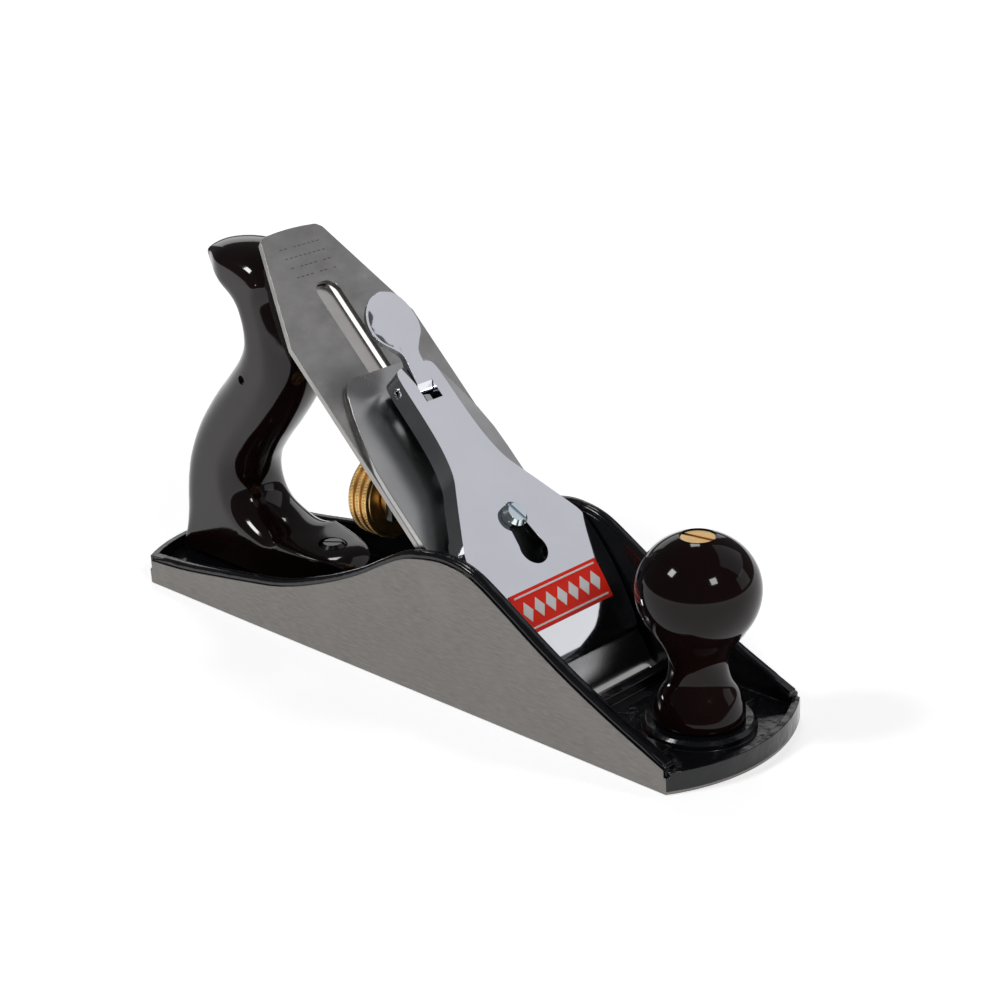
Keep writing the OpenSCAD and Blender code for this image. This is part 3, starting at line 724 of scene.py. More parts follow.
@dataclass
class Handle:
    """Rear handle: a moulded, pillow-sided grip with a long foot."""

    thick: float = 26.0
    foot_thick: float = 22.0
    tongue_x: float = -66.0
    tongue_end: float = -37.6
    horn_share: float = 0.56
    inset: float = 9.5
    foot_inset: float = 1.3
    foot_top: float = 24.0
    base_inset: float = 0.35
    base_top: float = 9.0
    reach: float = 60.0
    reach_share: float = 0.74
    evening: int = 24
    horn_x: Tuple[float, float] = (-82.0, -96.5)
    horn_z: Tuple[float, float] = (98.0, 106.0)
    blend_z: Tuple[float, float] = (23.0, 30.0)
    toe_power: float = 2.6
    toe_least: float = 0.03
    fill_pitch: float = 2.0
    fill_gap: float = 0.9
    rings: int = 11
    steps: int = 8
    nut_at: Tuple[float, float] = (-66.0, 108.0)
    foot_at: Tuple[float, float] = (-108.0, 4.0)
    nut_bore: float = 5.35
    screw_x: float = -52.4
    screw_z: float = 18.05
    screw_bore: float = 4.75
    pit_at: Tuple[float, float, float] = (-76.0, -11.8, 75.0)
    pit_bore: float = 1.5
    line: List[Point2] = field(default_factory=lambda: [
        (-116.8, 8.2), (-118, 20), (-117, 31), (-113.6, 43), (-107, 55), (-98, 66), (-89, 75), (-82, 83),
        (-79, 90), (-80.6, 97), (-87.4, 103.6), (-95, 109.4), (-95.6, 115), (-89, 117.6), (-77, 118),
        (-66.6, 115.4), (-61, 109.4), (-59.6, 102), (-56.8, 93), (-55.2, 84), (-56.6, 75), (-61.8, 66),
        (-69.6, 56.6), (-78, 47.6), (-83.4, 40.4), (-84.4, 34.2), (-81.4, 28.6), (-74.4, 24.4),
        (-65, 21.8), (-53.5, 20.2), (-45, 19), (-40, 16.2), (-38, 12), (-37.8, 8.4),
        (-39.6, 7.3), (-50, 7.25), (-78, 7.25),
        (-104, 7.25), (-115, 7.3)])

    def depth(self, points: List[Vector], normals: List[Vector]) -> List[float]:
        """How far each outline point may move inward before the sides meet.

        Args:
            points: Outline of the handle.
            normals: Inward direction at each point.

        Returns:
            The room at each point, in millimetres.
        """
        count = len(points)
        room = []
        for i, (p, n) in enumerate(zip(points, normals)):
            radius = self.reach
            for j in range(count):
                if min((i - j) % count, (j - i) % count) < 4:
                    continue
                gap = points[j] - p
                facing = gap.dot(n)
                if facing > 1e-4:
                    radius = min(radius, gap.dot(gap) / (2 * facing))
            most = self.inset
            if p.x > self.tongue_x and p.y < self.foot_top:
                most = self.foot_inset
            if p.y < self.base_top:
                most = self.base_inset
            room.append(min(most, self.reach_share * radius))
        for _ in range(self.evening):
            room = [min(room[i], (room[i - 1] + room[i] * 2 + room[(i + 1) % count]) / 4 + 0.02)
                    for i in range(count)]
        return room

    def build(self) -> bpy.types.Object:
        """Makes the handle with its nut and screw holes.

        Returns:
            The handle in the world's place.
        """
        points = [Vector(p) for p in catmull(self.line, self.steps, True)]
        count = len(points)
        normals = []
        for i in range(count):
            along = (points[(i + 1) % count] - points[i - 1]).normalized()
            normals.append(Vector((along.y, -along.x)))
        depth = self.depth(points, normals)
        verts: List[Vector] = []
        faces: List[Sequence[int]] = []
        levels = [k / (self.rings - 1) * math.pi / 2 for k in range(self.rings)]
        sweep = [-a for a in reversed(levels)] + levels[1:]
        for a in sweep:
            for p, n, d in zip(points, normals, depth):
                q = p + n * (d * (1 - math.cos(a)))
                half = self.half_width(q.x, q.y)
                verts.append(Vector((q.x, half * math.sin(a), q.y)) * MM)
        for r in range(len(sweep) - 1):
            for i in range(count):
                n = (i + 1) % count
                faces.append((r * count + i, r * count + n, (r + 1) * count + n, (r + 1) * count + i))
        for base in (0, (len(sweep) - 1) * count):
            self.close_side(verts, faces, base, count)
        obj = mesh_object("handle", verts, faces, 45.0)
        top = Vector((self.nut_at[0], 0, self.nut_at[1]))
        run = (top - Vector((self.foot_at[0], 0, self.foot_at[1]))).normalized()
        bed_cut(obj, rod_tool((top - run * 0.2) * MM, (top + run * 16) * MM, self.nut_bore * MM))
        bed_cut(obj, rod_tool(Vector((self.screw_x, 0, self.screw_z)) * MM,
                              Vector((self.screw_x, 0, self.screw_z + 9)) * MM, self.screw_bore * MM))
        pit = Vector(self.pit_at)
        bed_cut(obj, rod_tool(pit * MM, (pit - Vector((0, 4, 0))) * MM, self.pit_bore * MM))
        bm = bmesh.new()
        bm.from_mesh(obj.data)
        shade(bm, 38.0)
        bm.to_mesh(obj.data)
        bm.free()
        return obj

    def close_side(self, verts: List[Vector], faces: List[Sequence[int]], base: int, count: int) -> None:
        """Fills one side face with a mesh that follows the changing thickness.

        Args:
            verts: Vertices so far, added to.
            faces: Faces so far, added to.
            base: Index of the side's first rim vertex.
            count: Vertices on the rim.
        """
        ring = [Vector((verts[base + i].x / MM, verts[base + i].z / MM)) for i in range(count)]
        sign = math.copysign(1.0, verts[base].y)
        inner = []
        pitch = self.fill_pitch
        for row in range(int(120 / pitch)):
            for column in range(int(90 / pitch)):
                spot = Vector((-121.0 + column * pitch + (row % 2) * pitch / 2, 6.0 + row * pitch))
                if self.inside(spot, ring) and min((spot - p).length for p in ring) > self.fill_gap:
                    inner.append(spot)
        made = delaunay_2d_cdt(ring + inner, [], [list(range(count))], 1, 1e-5)
        index = []
        for co, origin in zip(made[0], made[3]):
            first = min(origin, default=count)
            if first < count:
                index.append(base + first)
            else:
                index.append(len(verts))
                verts.append(Vector((co.x, sign * self.half_width(co.x, co.y), co.y)) * MM)
        faces.extend(tuple(index[k] for k in face) for face in made[2])

    @staticmethod
    def inside(spot: Vector, ring: List[Vector]) -> bool:
        """Even-odd test of a point against a closed outline.

        Args:
            spot: Point to test.
            ring: Closed outline.

        Returns:
            Whether it lies inside.
        """
        odd = False
        for a, b in zip(ring, ring[1:] + ring[:1]):
            if (a.y > spot.y) != (b.y > spot.y) and spot.x < (b.x - a.x) * (spot.y - a.y) / (b.y - a.y) + a.x:
                odd = not odd
        return odd

    def half_width(self, x: float, z: float) -> float:
        """Half thickness at a place in the centre plane: slim horn tip, tongue-shaped foot.

        Args:
            x: Place along the plane.
            z: Height.

        Returns:
            Half thickness in millimetres.
        """
        half = self.thick / 2
        horn = self.smooth_step(*self.horn_x, x) * self.smooth_step(*self.horn_z, z)
        half -= half * (1 - self.horn_share) * horn
        if x > self.tongue_x and z < self.blend_z[1]:
            run = min((x - self.tongue_x) / (self.tongue_end - self.tongue_x), 1.0)
            tongue = self.foot_thick / 2 * math.sqrt(max(1.0 - run ** self.toe_power, self.toe_least))
            low = 1 - self.smooth_step(*self.blend_z, z)
            half = half * (1 - low) + min(half, tongue + (half - self.foot_thick / 2) * (1 - run)) * low
        return half

    @staticmethod
    def smooth_step(low: float, high: float, value: float) -> float:
        """Smooth 0-1 step between two values.

        Args:
            low: Value that gives 0.
            high: Value that gives 1.
            value: Value to map.

        Returns:
            The step.
        """
        t = min(max((value - low) / (high - low), 0.0), 1.0)
        return t * t * (3 - 2 * t)


@dataclass
class Knob:
    """Front knob: a turned ball over a waist and a rolled foot."""

    x: float = 100.6
    foot_z: float = 7.62
    ball_r: float = 17.6
    ball_z: float = 46.7
    squash: float = 0.93
    bore: float = 4.95
    bore_depth: float = 3.67
    segments: int = 128

    def profile(self) -> List[Point2]:
        """Radius and height from the foot's underside to the bore's floor.

        Returns:
            Points from the centre of the foot to the centre of the bore.
        """
        body = catmull([(12.2, self.foot_z + 0.05), (12.95, self.foot_z + 0.8), (13.0, self.foot_z + 2.2),
                        (12.7, self.foot_z + 4.0), (11.4, 15.6), (9.3, 19.4), (8.4, 23.6), (8.9, 27.6),
                        (11.0, 31.7), (13.4, 35.0)], 6, False)
        low, high, steps = -41.0, 73.4, 40
        ball = []
        for k in range(steps + 1):
            a = math.radians(low + (high - low) * k / steps)
            ball.append((self.ball_r * math.cos(a), self.ball_z + self.ball_r * math.sin(a) *
                         (self.squash if a > 0 else 1.0)))
        top = self.ball_z + self.ball_r * self.squash
        rim = [(self.bore + 0.35, top - 0.62), (self.bore, top - 0.85), (self.bore, top - self.bore_depth)]
        return [(0.0, self.foot_z)] + body + ball[1:] + rim + [(0.0, top - self.bore_depth)]

    def build(self) -> bpy.types.Object:
        """Spins the profile into a closed solid.

        Returns:
            The knob in the world's place.
        """
        line = self.profile()
        verts = [Vector((self.x, 0, line[0][1])) * MM]
        faces: List[Sequence[int]] = []
        for r, z in line[1:-1]:
            for k in range(self.segments):
                a = 2 * math.pi * k / self.segments
                verts.append(Vector((self.x + r * math.cos(a), r * math.sin(a), z)) * MM)
        verts.append(Vector((self.x, 0, line[-1][1])) * MM)
        rings = len(line) - 2
        for k in range(self.segments):
            n = (k + 1) % self.segments
            faces.append((0, 1 + n, 1 + k))
            for r in range(rings - 1):
                a = 1 + r * self.segments
                faces.append((a + k, a + n, a + self.segments + n, a + self.segments + k))
            last = 1 + (rings - 1) * self.segments
            faces.append((last + k, last + n, len(verts) - 1))
        return mesh_object("front_knob", verts, faces, 50.0)


@dataclass
class PaddleDish:
    """Crowned thumb face of the cam lever's paddle."""

    centre_s: float = 127.4
    crown: float = 1.0
    sink: float = 0.35
    rings: int = 12
    half: List[Point2] = field(default_factory=lambda: [
        (119.6, 4.7), (122.8, 7.6), (127.4, 8.6), (132.0, 7.3), (135.2, 4.2), (136.4, 0.0)])
    face: List[Point2] = field(default_factory=lambda: [
        (113, 14.9), (118, 15.9), (124, 16.2), (130, 16.8), (137.6, 19)])

    def level(self, s: float) -> float:
        """Height of the flat paddle at a place along the bed.

        Args:
            s: Place up the bed.

        Returns:
            Height over the bed in millimetres.
        """
        line = catmull(self.face, 8, False)
        for a, b in zip(line, line[1:]):
            if a[0] <= s <= b[0]:
                return a[1] + (b[1] - a[1]) * (s - a[0]) / (b[0] - a[0])
        return line[-1][1]

    def build(self) -> bpy.types.Object:
        """Makes a closed crowned pad that sits in the paddle's face.

        Returns:
            The pad.
        """
        side = catmull(self.half, 6, False)
        rim = side + [(s, -y) for s, y in reversed(side[:-1])]
        count = len(rim)
        verts = [bed_point(self.centre_s, 0, self.level(self.centre_s) + self.crown)]
        for r in range(1, self.rings + 1):
            t = r / self.rings
            for s, y in rim:
                at = self.centre_s + (s - self.centre_s) * t
                verts.append(bed_point(at, y * t, self.level(at) + self.crown * (1 - t * t)))
        for s, y in rim:
            verts.append(bed_point(s, y, self.level(s) - self.sink))
        verts.append(bed_point(self.centre_s, 0, self.level(self.centre_s) - self.sink))
        faces: List[Sequence[int]] = []
        for i in range(count):
            n = (i + 1) % count
            faces.append((0, 1 + i, 1 + n))
            for r in range(self.rings):
                a, b = 1 + r * count, 1 + (r + 1) * count
                faces.append((a + i, b + i, b + n, a + n))
            last = 1 + self.rings * count
            faces.append((last + n, last + i, len(verts) - 1))
        return mesh_object("paddle_dish", verts, faces, 60.0)


@dataclass
class CheekRims:
    """Round-topped, painted beads along both cheeks."""

    offset: float = 27.5
    half: float = 1.82
    rise: float = 1.9
    power: float = 2.8
    steps: int = 6
    ring: int = 24
    tip_share: float = 0.25
    tip_steps: int = 4
    line: List[Point2] = field(default_factory=lambda: [
        (-112.4, 8.2), (-96, 9.4), (-80, 11.6), (-62, 14.4), (-44, 17.6), (-24, 24.2), (-7, 31.6), (5, 38.2),
        (14, 42.6), (24, 44.9), (32, 45.5), (42, 43.6), (54, 37), (66, 29.6), (80, 21.8), (96, 14.2),
        (112.4, 7.2)])

    def build(self) -> bpy.types.Object:
        """Lofts both beads as closed solids with tapered ends.

        Returns:
            Both beads as one object.
        """
        path = catmull(self.line, self.steps, False)
        verts: List[Vector] = []
        faces: List[Sequence[int]] = []
        ring = self.ring
        for side in (-1, 1):
            start = len(verts)
            for i, (x, z) in enumerate(path):
                near = min(i, len(path) - 1 - i)
                taper = min(1.0, self.tip_share + near / self.tip_steps)
                for k in range(ring):
                    a = 2 * math.pi * k / ring
                    c, s = math.cos(a), math.sin(a)
                    dy = self.half * math.copysign(abs(c) ** (2 / self.power), c)
                    dz = self.rise * taper * math.copysign(abs(s) ** (2 / self.power), s)
                    verts.append(Vector((x, side * self.offset + dy, z + dz)) * MM)
            for i in range(len(path) - 1):
                a = start + i * ring
                for k in range(ring):
                    n = (k + 1) % ring
                    faces.append((a + k, a + n, a + ring + n, a + ring + k))
            faces.append(tuple(start + k for k in reversed(range(ring))))
            faces.append(tuple(start + (len(path) - 1) * ring + k for k in range(ring)))
        return mesh_object("cheek_rims", verts, faces, 60.0)


@dataclass
class WheelKnurl:
    """Leaning beads that knurl the depth wheel's rims."""

    centre_x: float = -23.47
    centre_z: float = 45.0
    radius: float = 13.35
    count: int = 84
    rows: int = 3
    row_gap: float = 3.0
    bead: float = 0.5
    lean: float = 28.0
    stretch: Tuple[float, float, float] = (0.72, 0.78, 2.0)
    spread: Tuple[float, float] = (0.94, 1.06)

    def build(self, material: bpy.types.Material) -> bpy.types.Object:
        """Bakes the knurling rings.

        Args:
            material: Brass.

        Returns:
            The knurling.
        """
        nodes = NodeTree("RimKnurl")
        nodes.ask("Count", "NodeSocketInt", self.count)
        nodes.ask("Radius", "NodeSocketFloat", self.radius * MM)
        nodes.ask("Rows", "NodeSocketInt", self.rows)
        nodes.ask("Row Gap", "NodeSocketFloat", self.row_gap * MM)
        nodes.ask("Bead", "NodeSocketFloat", self.bead * MM)
        nodes.ask("Lean", "NodeSocketFloat", math.radians(self.lean))
        nodes.ask("Seed", "NodeSocketInt", SEED)
        nodes.ask("Material", "NodeSocketMaterial", material)
        nodes.open()
        circle = nodes.add("GeometryNodeMeshCircle", Vertices=nodes.inputs["Count"], Radius=nodes.inputs["Radius"])
        place = nodes.add("GeometryNodeInputPosition")
        split = nodes.add("ShaderNodeSeparateXYZ", Vector=place.outputs[0])
        angle = nodes.add("ShaderNodeMath", {"operation": "ARCTAN2"})
        nodes.put(angle.inputs[0], split.outputs[1])
        nodes.put(angle.inputs[1], split.outputs[0])
        turn = nodes.add("ShaderNodeCombineXYZ", X=nodes.inputs["Lean"], Z=angle.outputs[0])
        jitter = nodes.add("FunctionNodeRandomValue", {"data_type": "FLOAT"}, Seed=nodes.inputs["Seed"])
        jitter.inputs[2].default_value, jitter.inputs[3].default_value = self.spread
        bead = nodes.add("GeometryNodeMeshIcoSphere", Radius=nodes.inputs["Bead"], Subdivisions=2)
        shaped = nodes.add("GeometryNodeTransform", Geometry=bead.outputs[0])
        shaped.inputs["Scale"].default_value = self.stretch
        beads = nodes.add("GeometryNodeInstanceOnPoints", Points=circle.outputs[0], Instance=shaped.outputs[0],
                          Rotation=turn.outputs[0], Scale=jitter.outputs[1])
        step = nodes.add("ShaderNodeCombineXYZ", Z=nodes.inputs["Row Gap"])
        line = nodes.add("GeometryNodeMeshLine", Count=nodes.inputs["Rows"], Offset=step.outputs[0])
        rows = nodes.add("GeometryNodeInstanceOnPoints", Points=line.outputs[0], Instance=beads.outputs[0])
        nodes.close(rows.outputs[0], nodes.inputs["Material"])
        shift = (self.rows - 1) / 2 * self.row_gap * MM

        def to_world(v: Vector) -> Vector:
            """Turns the ring onto the wheel."""
            return Vector((self.centre_x * MM + v.z - shift, v.x, self.centre_z * MM + v.y))

        return nodes.bake("depth_wheel_knurling", to_world, 60.0)


@dataclass
class BadgePattern:
    """Pale raised lozenges between two bars on the red badge."""

    centre_s: float = 30.2
    span: float = 29.0
    count: int = 7
    wide: float = 2.05
    tall: float = 3.1
    thick: float = 0.3
    bar_s: float = 4.9
    bar_tall: float = 0.55
    bar_over: float = 5.2
    spread: Tuple[float, float] = (0.985, 1.015)
    crown: List[Point2] = field(default_factory=lambda: catmull(
        [(12, 6), (14.5, 7.4), (19, 9.2), (26, 11.1), (34, 12.6), (43, 13.36), (52, 13.4)], 8, False))
    lift: float = 0.44

    def height(self, s: float) -> float:
        """Height of the badge's face at a place up the cap.

        Args:
            s: Place up the cap.

        Returns:
            Height in millimetres.
        """
        for (a, b) in zip(self.crown, self.crown[1:]):
            if a[0] <= s <= b[0]:
                t = (s - a[0]) / max(b[0] - a[0], 1e-9)
                return a[1] + (b[1] - a[1]) * t
        return self.crown[-1][1]

    def build(self, material: bpy.types.Material) -> bpy.types.Object:
        """Bakes the lozenge row and its two bars onto the crowned face.

        Args:
            material: Pale enamel.

        Returns:
            The pattern.
        """
        nodes = NodeTree("LozengeRow")
        nodes.ask("Count", "NodeSocketInt", self.count)
        nodes.ask("Span", "NodeSocketFloat", self.span)
        nodes.ask("Size", "NodeSocketVector", (self.wide, self.tall, self.thick))
        nodes.ask("Bar Gap", "NodeSocketFloat", self.bar_s)
        nodes.ask("Seed", "NodeSocketInt", SEED)
        nodes.ask("Material", "NodeSocketMaterial", material)
        nodes.open()
        half = nodes.add("ShaderNodeMath", {"operation": "MULTIPLY"})
        nodes.put(half.inputs[0], nodes.inputs["Span"])
        half.inputs[1].default_value = -0.5
        end = nodes.add("ShaderNodeMath", {"operation": "MULTIPLY"})
        nodes.put(end.inputs[0], nodes.inputs["Span"])
        end.inputs[1].default_value = 0.5
        first = nodes.add("ShaderNodeCombineXYZ", X=half.outputs[0])
        last = nodes.add("ShaderNodeCombineXYZ", X=end.outputs[0])
        line = nodes.add("GeometryNodeMeshLine", {"mode": "END_POINTS"}, Count=nodes.inputs["Count"])
        nodes.put(line.inputs["Start Location"], first.outputs[0])
        nodes.put(line.inputs["Offset"], last.outputs[0])
        diamond = nodes.add("GeometryNodeMeshCylinder", Vertices=4, Radius=1.0, Depth=1.0)
        jitter = nodes.add("FunctionNodeRandomValue", {"data_type": "FLOAT"}, Seed=nodes.inputs["Seed"])
        jitter.inputs[2].default_value, jitter.inputs[3].default_value = self.spread
        size = nodes.add("ShaderNodeVectorMath", {"operation": "SCALE"})
        nodes.put(size.inputs[0], nodes.inputs["Size"])
        nodes.put(size.inputs["Scale"], jitter.outputs[1])
        row = nodes.add("GeometryNodeInstanceOnPoints", Points=line.outputs[0], Instance=diamond.outputs["Mesh"],
                        Scale=size.outputs[0])
        join = nodes.add("GeometryNodeJoinGeometry")
        nodes.put(join.inputs[0], row.outputs[0])
        for side in (-1, 1):
            width = nodes.add("ShaderNodeMath", {"operation": "ADD"})
            nodes.put(width.inputs[0], nodes.inputs["Span"])
            width.inputs[1].default_value = self.bar_over
            shape = nodes.add("ShaderNodeCombineXYZ", X=width.outputs[0], Y=self.bar_tall, Z=self.thick)
            bar = nodes.add("GeometryNodeMeshCube", Size=shape.outputs[0], Vertices_X=9, Vertices_Y=2, Vertices_Z=2)
            gap = nodes.add("ShaderNodeMath", {"operation": "MULTIPLY"})
            nodes.put(gap.inputs[0], nodes.inputs["Bar Gap"])
            gap.inputs[1].default_value = float(side)
            at = nodes.add("ShaderNodeCombineXYZ", Y=gap.outputs[0])
            moved = nodes.add("GeometryNodeTransform", Geometry=bar.outputs["Mesh"], Translation=at.outputs[0])
            nodes.put(join.inputs[0], moved.outputs[0])
        nodes.close(join.outputs[0], nodes.inputs["Material"])

        def to_world(v: Vector) -> Vector:
            """Lays a flat vertex on the badge's face."""
            s = self.centre_s + v.y
            return bed_point(s, v.x, self.height(s) + self.lift + v.z)

        obj = nodes.bake("badge_pattern", to_world, 30.0)
        return rounded(obj, 0.08, 2, 30.0)


@dataclass
class EtchRows:
    """Faint rows of plain dashes near the blade's top."""

    rows: int = 4
    columns: int = 9
    wide: float = 15.0
    tall: float = 10.5
    centre_s: float = 163.5
    dash: float = 1.15
    dash_tall: float = 0.32
    dash_thick: float = 0.02
    share: float = 0.86
    proud: float = 0.008

    def build(self, material: bpy.types.Material) -> bpy.types.Object:
        """Bakes the dashes just proud of the blade's face.

        Args:
            material: Etched steel.

        Returns:
            The dashes.
        """
        nodes = NodeTree("EtchRows")
        nodes.ask("Rows", "NodeSocketInt", self.rows)
        nodes.ask("Columns", "NodeSocketInt", self.columns)
        nodes.ask("Width", "NodeSocketFloat", self.wide)
        nodes.ask("Height", "NodeSocketFloat", self.tall)
        nodes.ask("Dash", "NodeSocketFloat", self.dash)
        nodes.ask("Seed", "NodeSocketInt", SEED)
        nodes.ask("Material", "NodeSocketMaterial", material)
        nodes.open()
        grid = nodes.add("GeometryNodeMeshGrid", Size_X=nodes.inputs["Width"], Size_Y=nodes.inputs["Height"],
                         Vertices_X=nodes.inputs["Columns"], Vertices_Y=nodes.inputs["Rows"])
        keep = nodes.add("FunctionNodeRandomValue", {"data_type": "FLOAT"}, Seed=nodes.inputs["Seed"])
        some = nodes.add("FunctionNodeCompare", {"data_type": "FLOAT", "operation": "LESS_THAN"})
        nodes.put(some.inputs[0], keep.outputs[1])
        some.inputs[1].default_value = self.share
        size = nodes.add("ShaderNodeCombineXYZ", X=nodes.inputs["Dash"], Y=self.dash_tall, Z=self.dash_thick)
        dash = nodes.add("GeometryNodeMeshCube", Size=size.outputs[0])
        row = nodes.add("GeometryNodeInstanceOnPoints", Points=grid.outputs[0], Instance=dash.outputs["Mesh"],
                        Selection=some.outputs[0])
        nodes.close(row.outputs[0], nodes.inputs["Material"])

        def to_world(v: Vector) -> Vector:
            """Lays a flat vertex on the blade's face."""
            return bed_point(self.centre_s + v.y, v.x, self.proud + v.z)

        return nodes.bake("blade_dashes", to_world, 30.0)


# --------------------------------------------------------------------------
# Studio
# --------------------------------------------------------------------------


@dataclass
class Studio:
    """Pale floor, softboxes and the camera."""

    azimuth: float = 45.02
    elevation: float = 21.59
    roll: float = -2.67
    distance: float = 0.6599
    lens: float = 75.61
    aim: Tuple[float, float, float] = (0.0, 0.0255, 0.0402)

    def camera(self) -> None:
        """Places the camera at the reference angle."""
        a, e, r = (math.radians(v) for v in (self.azimuth, self.elevation, self.roll))
        back = Vector((math.sin(a) * math.cos(e), -math.cos(a) * math.cos(e), math.sin(e)))
        ahead = -back
        right = ahead.cross(Vector((0, 0, 1))).normalized()
        up = right.cross(ahead)
        across = right * math.cos(r) + up * math.sin(r)
        above = up * math.cos(r) - right * math.sin(r)
        data = bpy.data.cameras.new("camera")
        data.sensor_width = 36.0
        data.lens = self.lens
        data.clip_start = 0.01
        data.clip_end = 50.0
        cam = bpy.data.objects.new("camera", data)
        bpy.context.scene.collection.objects.link(cam)
        matrix = Matrix((across, above, back)).transposed().to_4x4()
        matrix.translation = Vector(self.aim) + back * self.distance
        cam.matrix_world = matrix
        bpy.context.scene.camera = cam

    def floor(self) -> None:
        """Makes the seamless pale floor."""
        graph = Graph("floor")
        soft = graph.noise(1.5, 2.0)
        colour = graph.mix_colour(soft, (0.90, 0.90, 0.91), (0.92, 0.92, 0.925))
        matt = graph.add("ShaderNodeBsdfPrincipled", Base_Color=colour, Roughness=0.75)
        far = graph.add("ShaderNodeVectorMath", {"operation": "LENGTH"})
        graph.put(far.inputs[0], graph.coords)
        strength = graph.math("ADD", 0.55, graph.math("MULTIPLY", graph.ramp(far.outputs["Value"], 0.35, 1.7), 0.47))
        glow = graph.add("ShaderNodeEmission", Color=(1.0, 1.0, 1.0, 1.0), Strength=strength)
        both = graph.add("ShaderNodeAddShader")
        graph.put(both.inputs[0], matt.outputs[0])
        graph.put(both.inputs[1], glow.outputs[0])
        graph.add("ShaderNodeOutputMaterial", Surface=both.outputs[0])
        size = 9.0
        floor = mesh_object("floor", [(-size, -size, -0.0002), (size, -size, -0.0002), (size, size, -0.0002),
                                      (-size, size, -0.0002)], [(0, 1, 2, 3)])
        floor.data.materials.append(graph.material)

    def softbox(self, name: str, place: Tuple[float, float, float], size: Tuple[float, float], radiance: float,
                colour: Tuple[float, float, float] = (1.0, 1.0, 1.0)) -> None:
        """One rectangular light that faces the object.

        Args:
            name: Light name.
            place: Where it hangs, in metres.
            size: Width and height in metres.
            radiance: Brightness of its face.
            colour: Its colour.
        """
        data = bpy.data.lights.new(name, "AREA")
        data.shape = "RECTANGLE"
        data.size, data.size_y = size
        data.energy = radiance * math.pi * size[0] * size[1]
        data.color = colour
        lamp = bpy.data.objects.new(name, data)
        bpy.context.scene.collection.objects.link(lamp)
        lamp.location = place
        lamp.rotation_mode = "QUATERNION"
        lamp.rotation_quaternion = (Vector((0, 0, 0.05)) - Vector(place)).to_track_quat("-Z", "Y")

    def lights(self) -> None:
        """Hangs the softboxes and sets the dim surround."""
        world = bpy.data.worlds.new("surround")
        world.use_nodes = True
        world.node_tree.nodes["Background"].inputs[0].default_value = (0.96, 0.97, 1.0, 1.0)
        world.node_tree.nodes["Background"].inputs[1].default_value = 0.09
        bpy.context.scene.world = world
        self.softbox("key", (-0.55, -1.05, 1.25), (0.34, 0.34), 23.0)
        self.softbox("fill", (1.35, -0.35, 1.15), (0.34, 0.34), 19.0)
        self.softbox("back", (0.50, 0.95, 0.95), (1.15, 0.95), 0.55, (0.95, 0.95, 1.0))
        self.softbox("low", (1.12, 1.06, 0.42), (0.75, 0.55), 0.72)
        self.softbox("top", (-0.55, 0.65, 1.5), (0.30, 0.30), 10.0)
        self.softbox("wall", (-0.95, 0.95, 0.52), (1.3, 0.50), 1.05)
        scene = bpy.context.scene
        scene.view_settings.view_transform = "Standard"
        scene.view_settings.look = "None"
        scene.view_settings.exposure = 0.0

    def build(self) -> None:
        """Sets up floor, lights and camera."""
        self.floor()
        self.lights()
        self.camera()


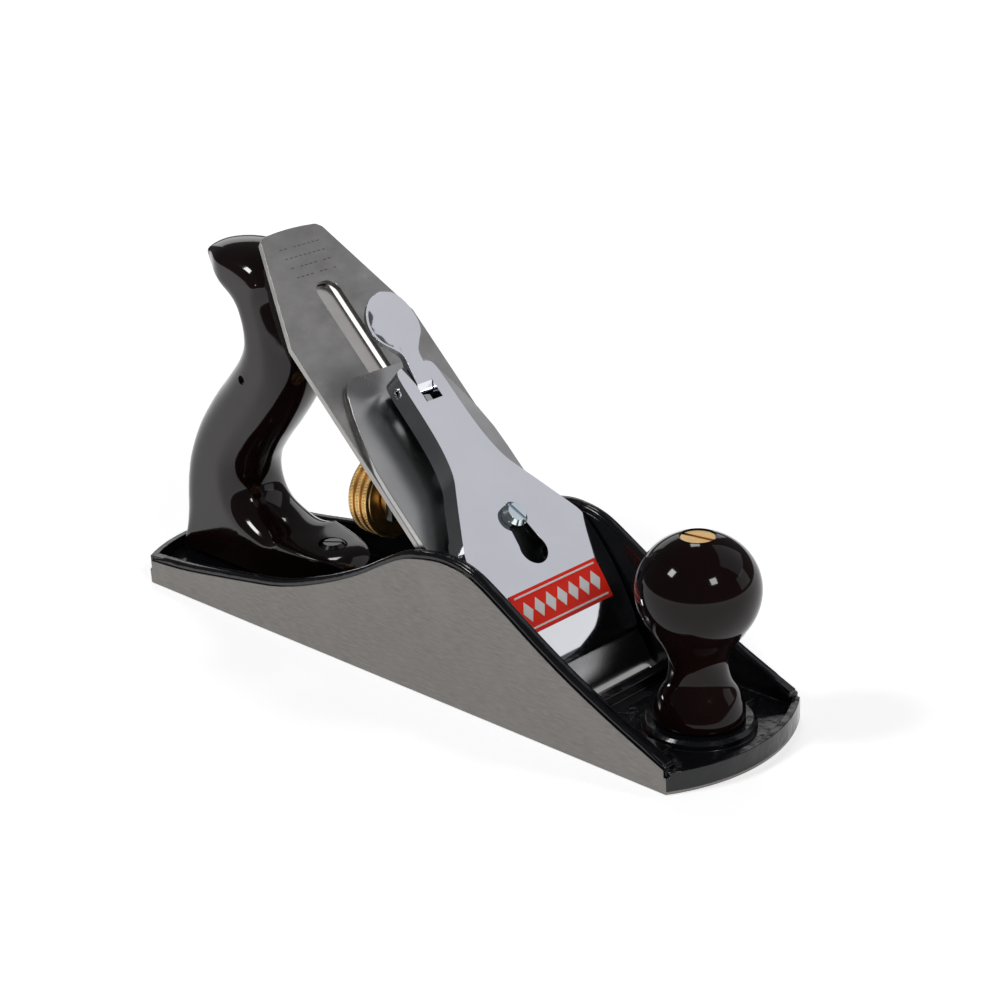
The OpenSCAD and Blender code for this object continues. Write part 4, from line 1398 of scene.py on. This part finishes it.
REFINED: List[Refined] = [
    Refined("sole_body", "root", Slot.JAPANNING, 0.35),
    Refined("frog", "frog", Slot.JAPANNING, 0.4),
    Refined("frog_clamp_screws", "root", Slot.PLATED, 0.15),
    Refined("frog_washers", "root", Slot.PLATED, 0.12),
    Refined("frog_adjust_screw", "frog_adjust_screw", Slot.PLATED, 0.15),
    Refined("frog_clip", "frog", Slot.PLATED, 0.15),
    Refined("frog_clip_screw", "frog", Slot.PLATED, 0.12),
    Refined("yoke_lever", "yoke_lever", Slot.JAPANNING, 0.3),
    Refined("yoke_pin", "frog", Slot.PLATED, 0.15),
    Refined("depth_stud", "frog", Slot.PLATED, 0.2),
    Refined("depth_nut_hub", "depth_nut_hub", Slot.BRASS, 0.15),
    Refined("depth_nut_wheel", "depth_nut_wheel", Slot.BRASS, 0.3),
    Refined("lateral_lever", "lateral_lever", Slot.PLATED, 0.25),
    Refined("lateral_pivot_pin", "frog", Slot.PLATED, 0.12),
    Refined("lateral_roller", "lateral_roller", Slot.PLATED, 0.15),
    Refined("lever_cap_screw", "frog", Slot.PLATED, 0.18),
    Refined("plane_iron", "irons", Slot.IRON, 0.12),
    Refined("cap_iron", "irons", Slot.BLUED, 0.25),
    Refined("cap_iron_screw", "irons", Slot.PLATED, 0.15),
    Refined("lever_cap", "lever_cap", Slot.CHROME, 1.3, 28.0, 5),
    Refined("cap_badge", "lever_cap", Slot.ENAMEL, 0.12),
    Refined("cam_lever", "cam_lever", Slot.CHROME, 0.4, 28.0, 3),
    Refined("cam_pin", "lever_cap", Slot.PLATED, 0.1),
    Refined("cap_spring", "lever_cap", Slot.SPRING, 0.12),
    Refined("cap_spring_rivet", "lever_cap", Slot.PLATED, 0.1),
    Refined("tote_rod", "root", Slot.PLATED, 0.15),
    Refined("tote_nut", "root", Slot.BRASS, 0.2),
    Refined("tote_toe_screw", "root", Slot.SCREW, 0.2),
    Refined("knob_stud", "root", Slot.PLATED, 0.15),
    Refined("knob_nut", "root", Slot.BRASS, 0.18),
]


def main() -> None:
    """Builds every piece and the studio."""
    finishes = FinishMaker()
    shop = Workshop(finishes)
    chrome = finishes.get(Slot.CHROME.value, CHROME)
    special = {"sole_body": finishes.cast_body("cast_body"), "lever_cap_screw": finishes.get("bright_zinc", ZINC),
               "lateral_lever": finishes.get("stem_steel", STEM)}
    for spec in REFINED:
        shop.hand_over(Piece(shop.refine(spec), spec.body, spec.slot, (spec.node,), special.get(spec.node)))
    shop.hand_over(Piece(Handle().build(), "root", Slot.PLASTIC, ("tote",)))
    ball = finishes.get("gloss_ball", GLOSS_BALL)
    shop.hand_over(Piece(Knob().build(), "root", Slot.PLASTIC, ("knob",), ball))
    shop.hand_over(Piece(PaddleDish().build(), "cam_lever", Slot.CHROME, (), chrome))
    shop.hand_over(Piece(CheekRims().build(), "root", Slot.JAPANNING))
    brass = finishes.get(Slot.BRASS.value, BRASS)
    shop.hand_over(Piece(WheelKnurl().build(brass), "depth_nut_wheel", Slot.BRASS))
    pale = finishes.get("pale_enamel", PALE)
    shop.hand_over(Piece(BadgePattern().build(pale), "lever_cap", Slot.ENAMEL, (), pale))
    marks = finishes.get("etched_steel", MARKS)
    shop.hand_over(Piece(EtchRows().build(marks), "irons", Slot.IRON, (), marks))
    Studio().build()


if __name__ == "__main__":
    main()
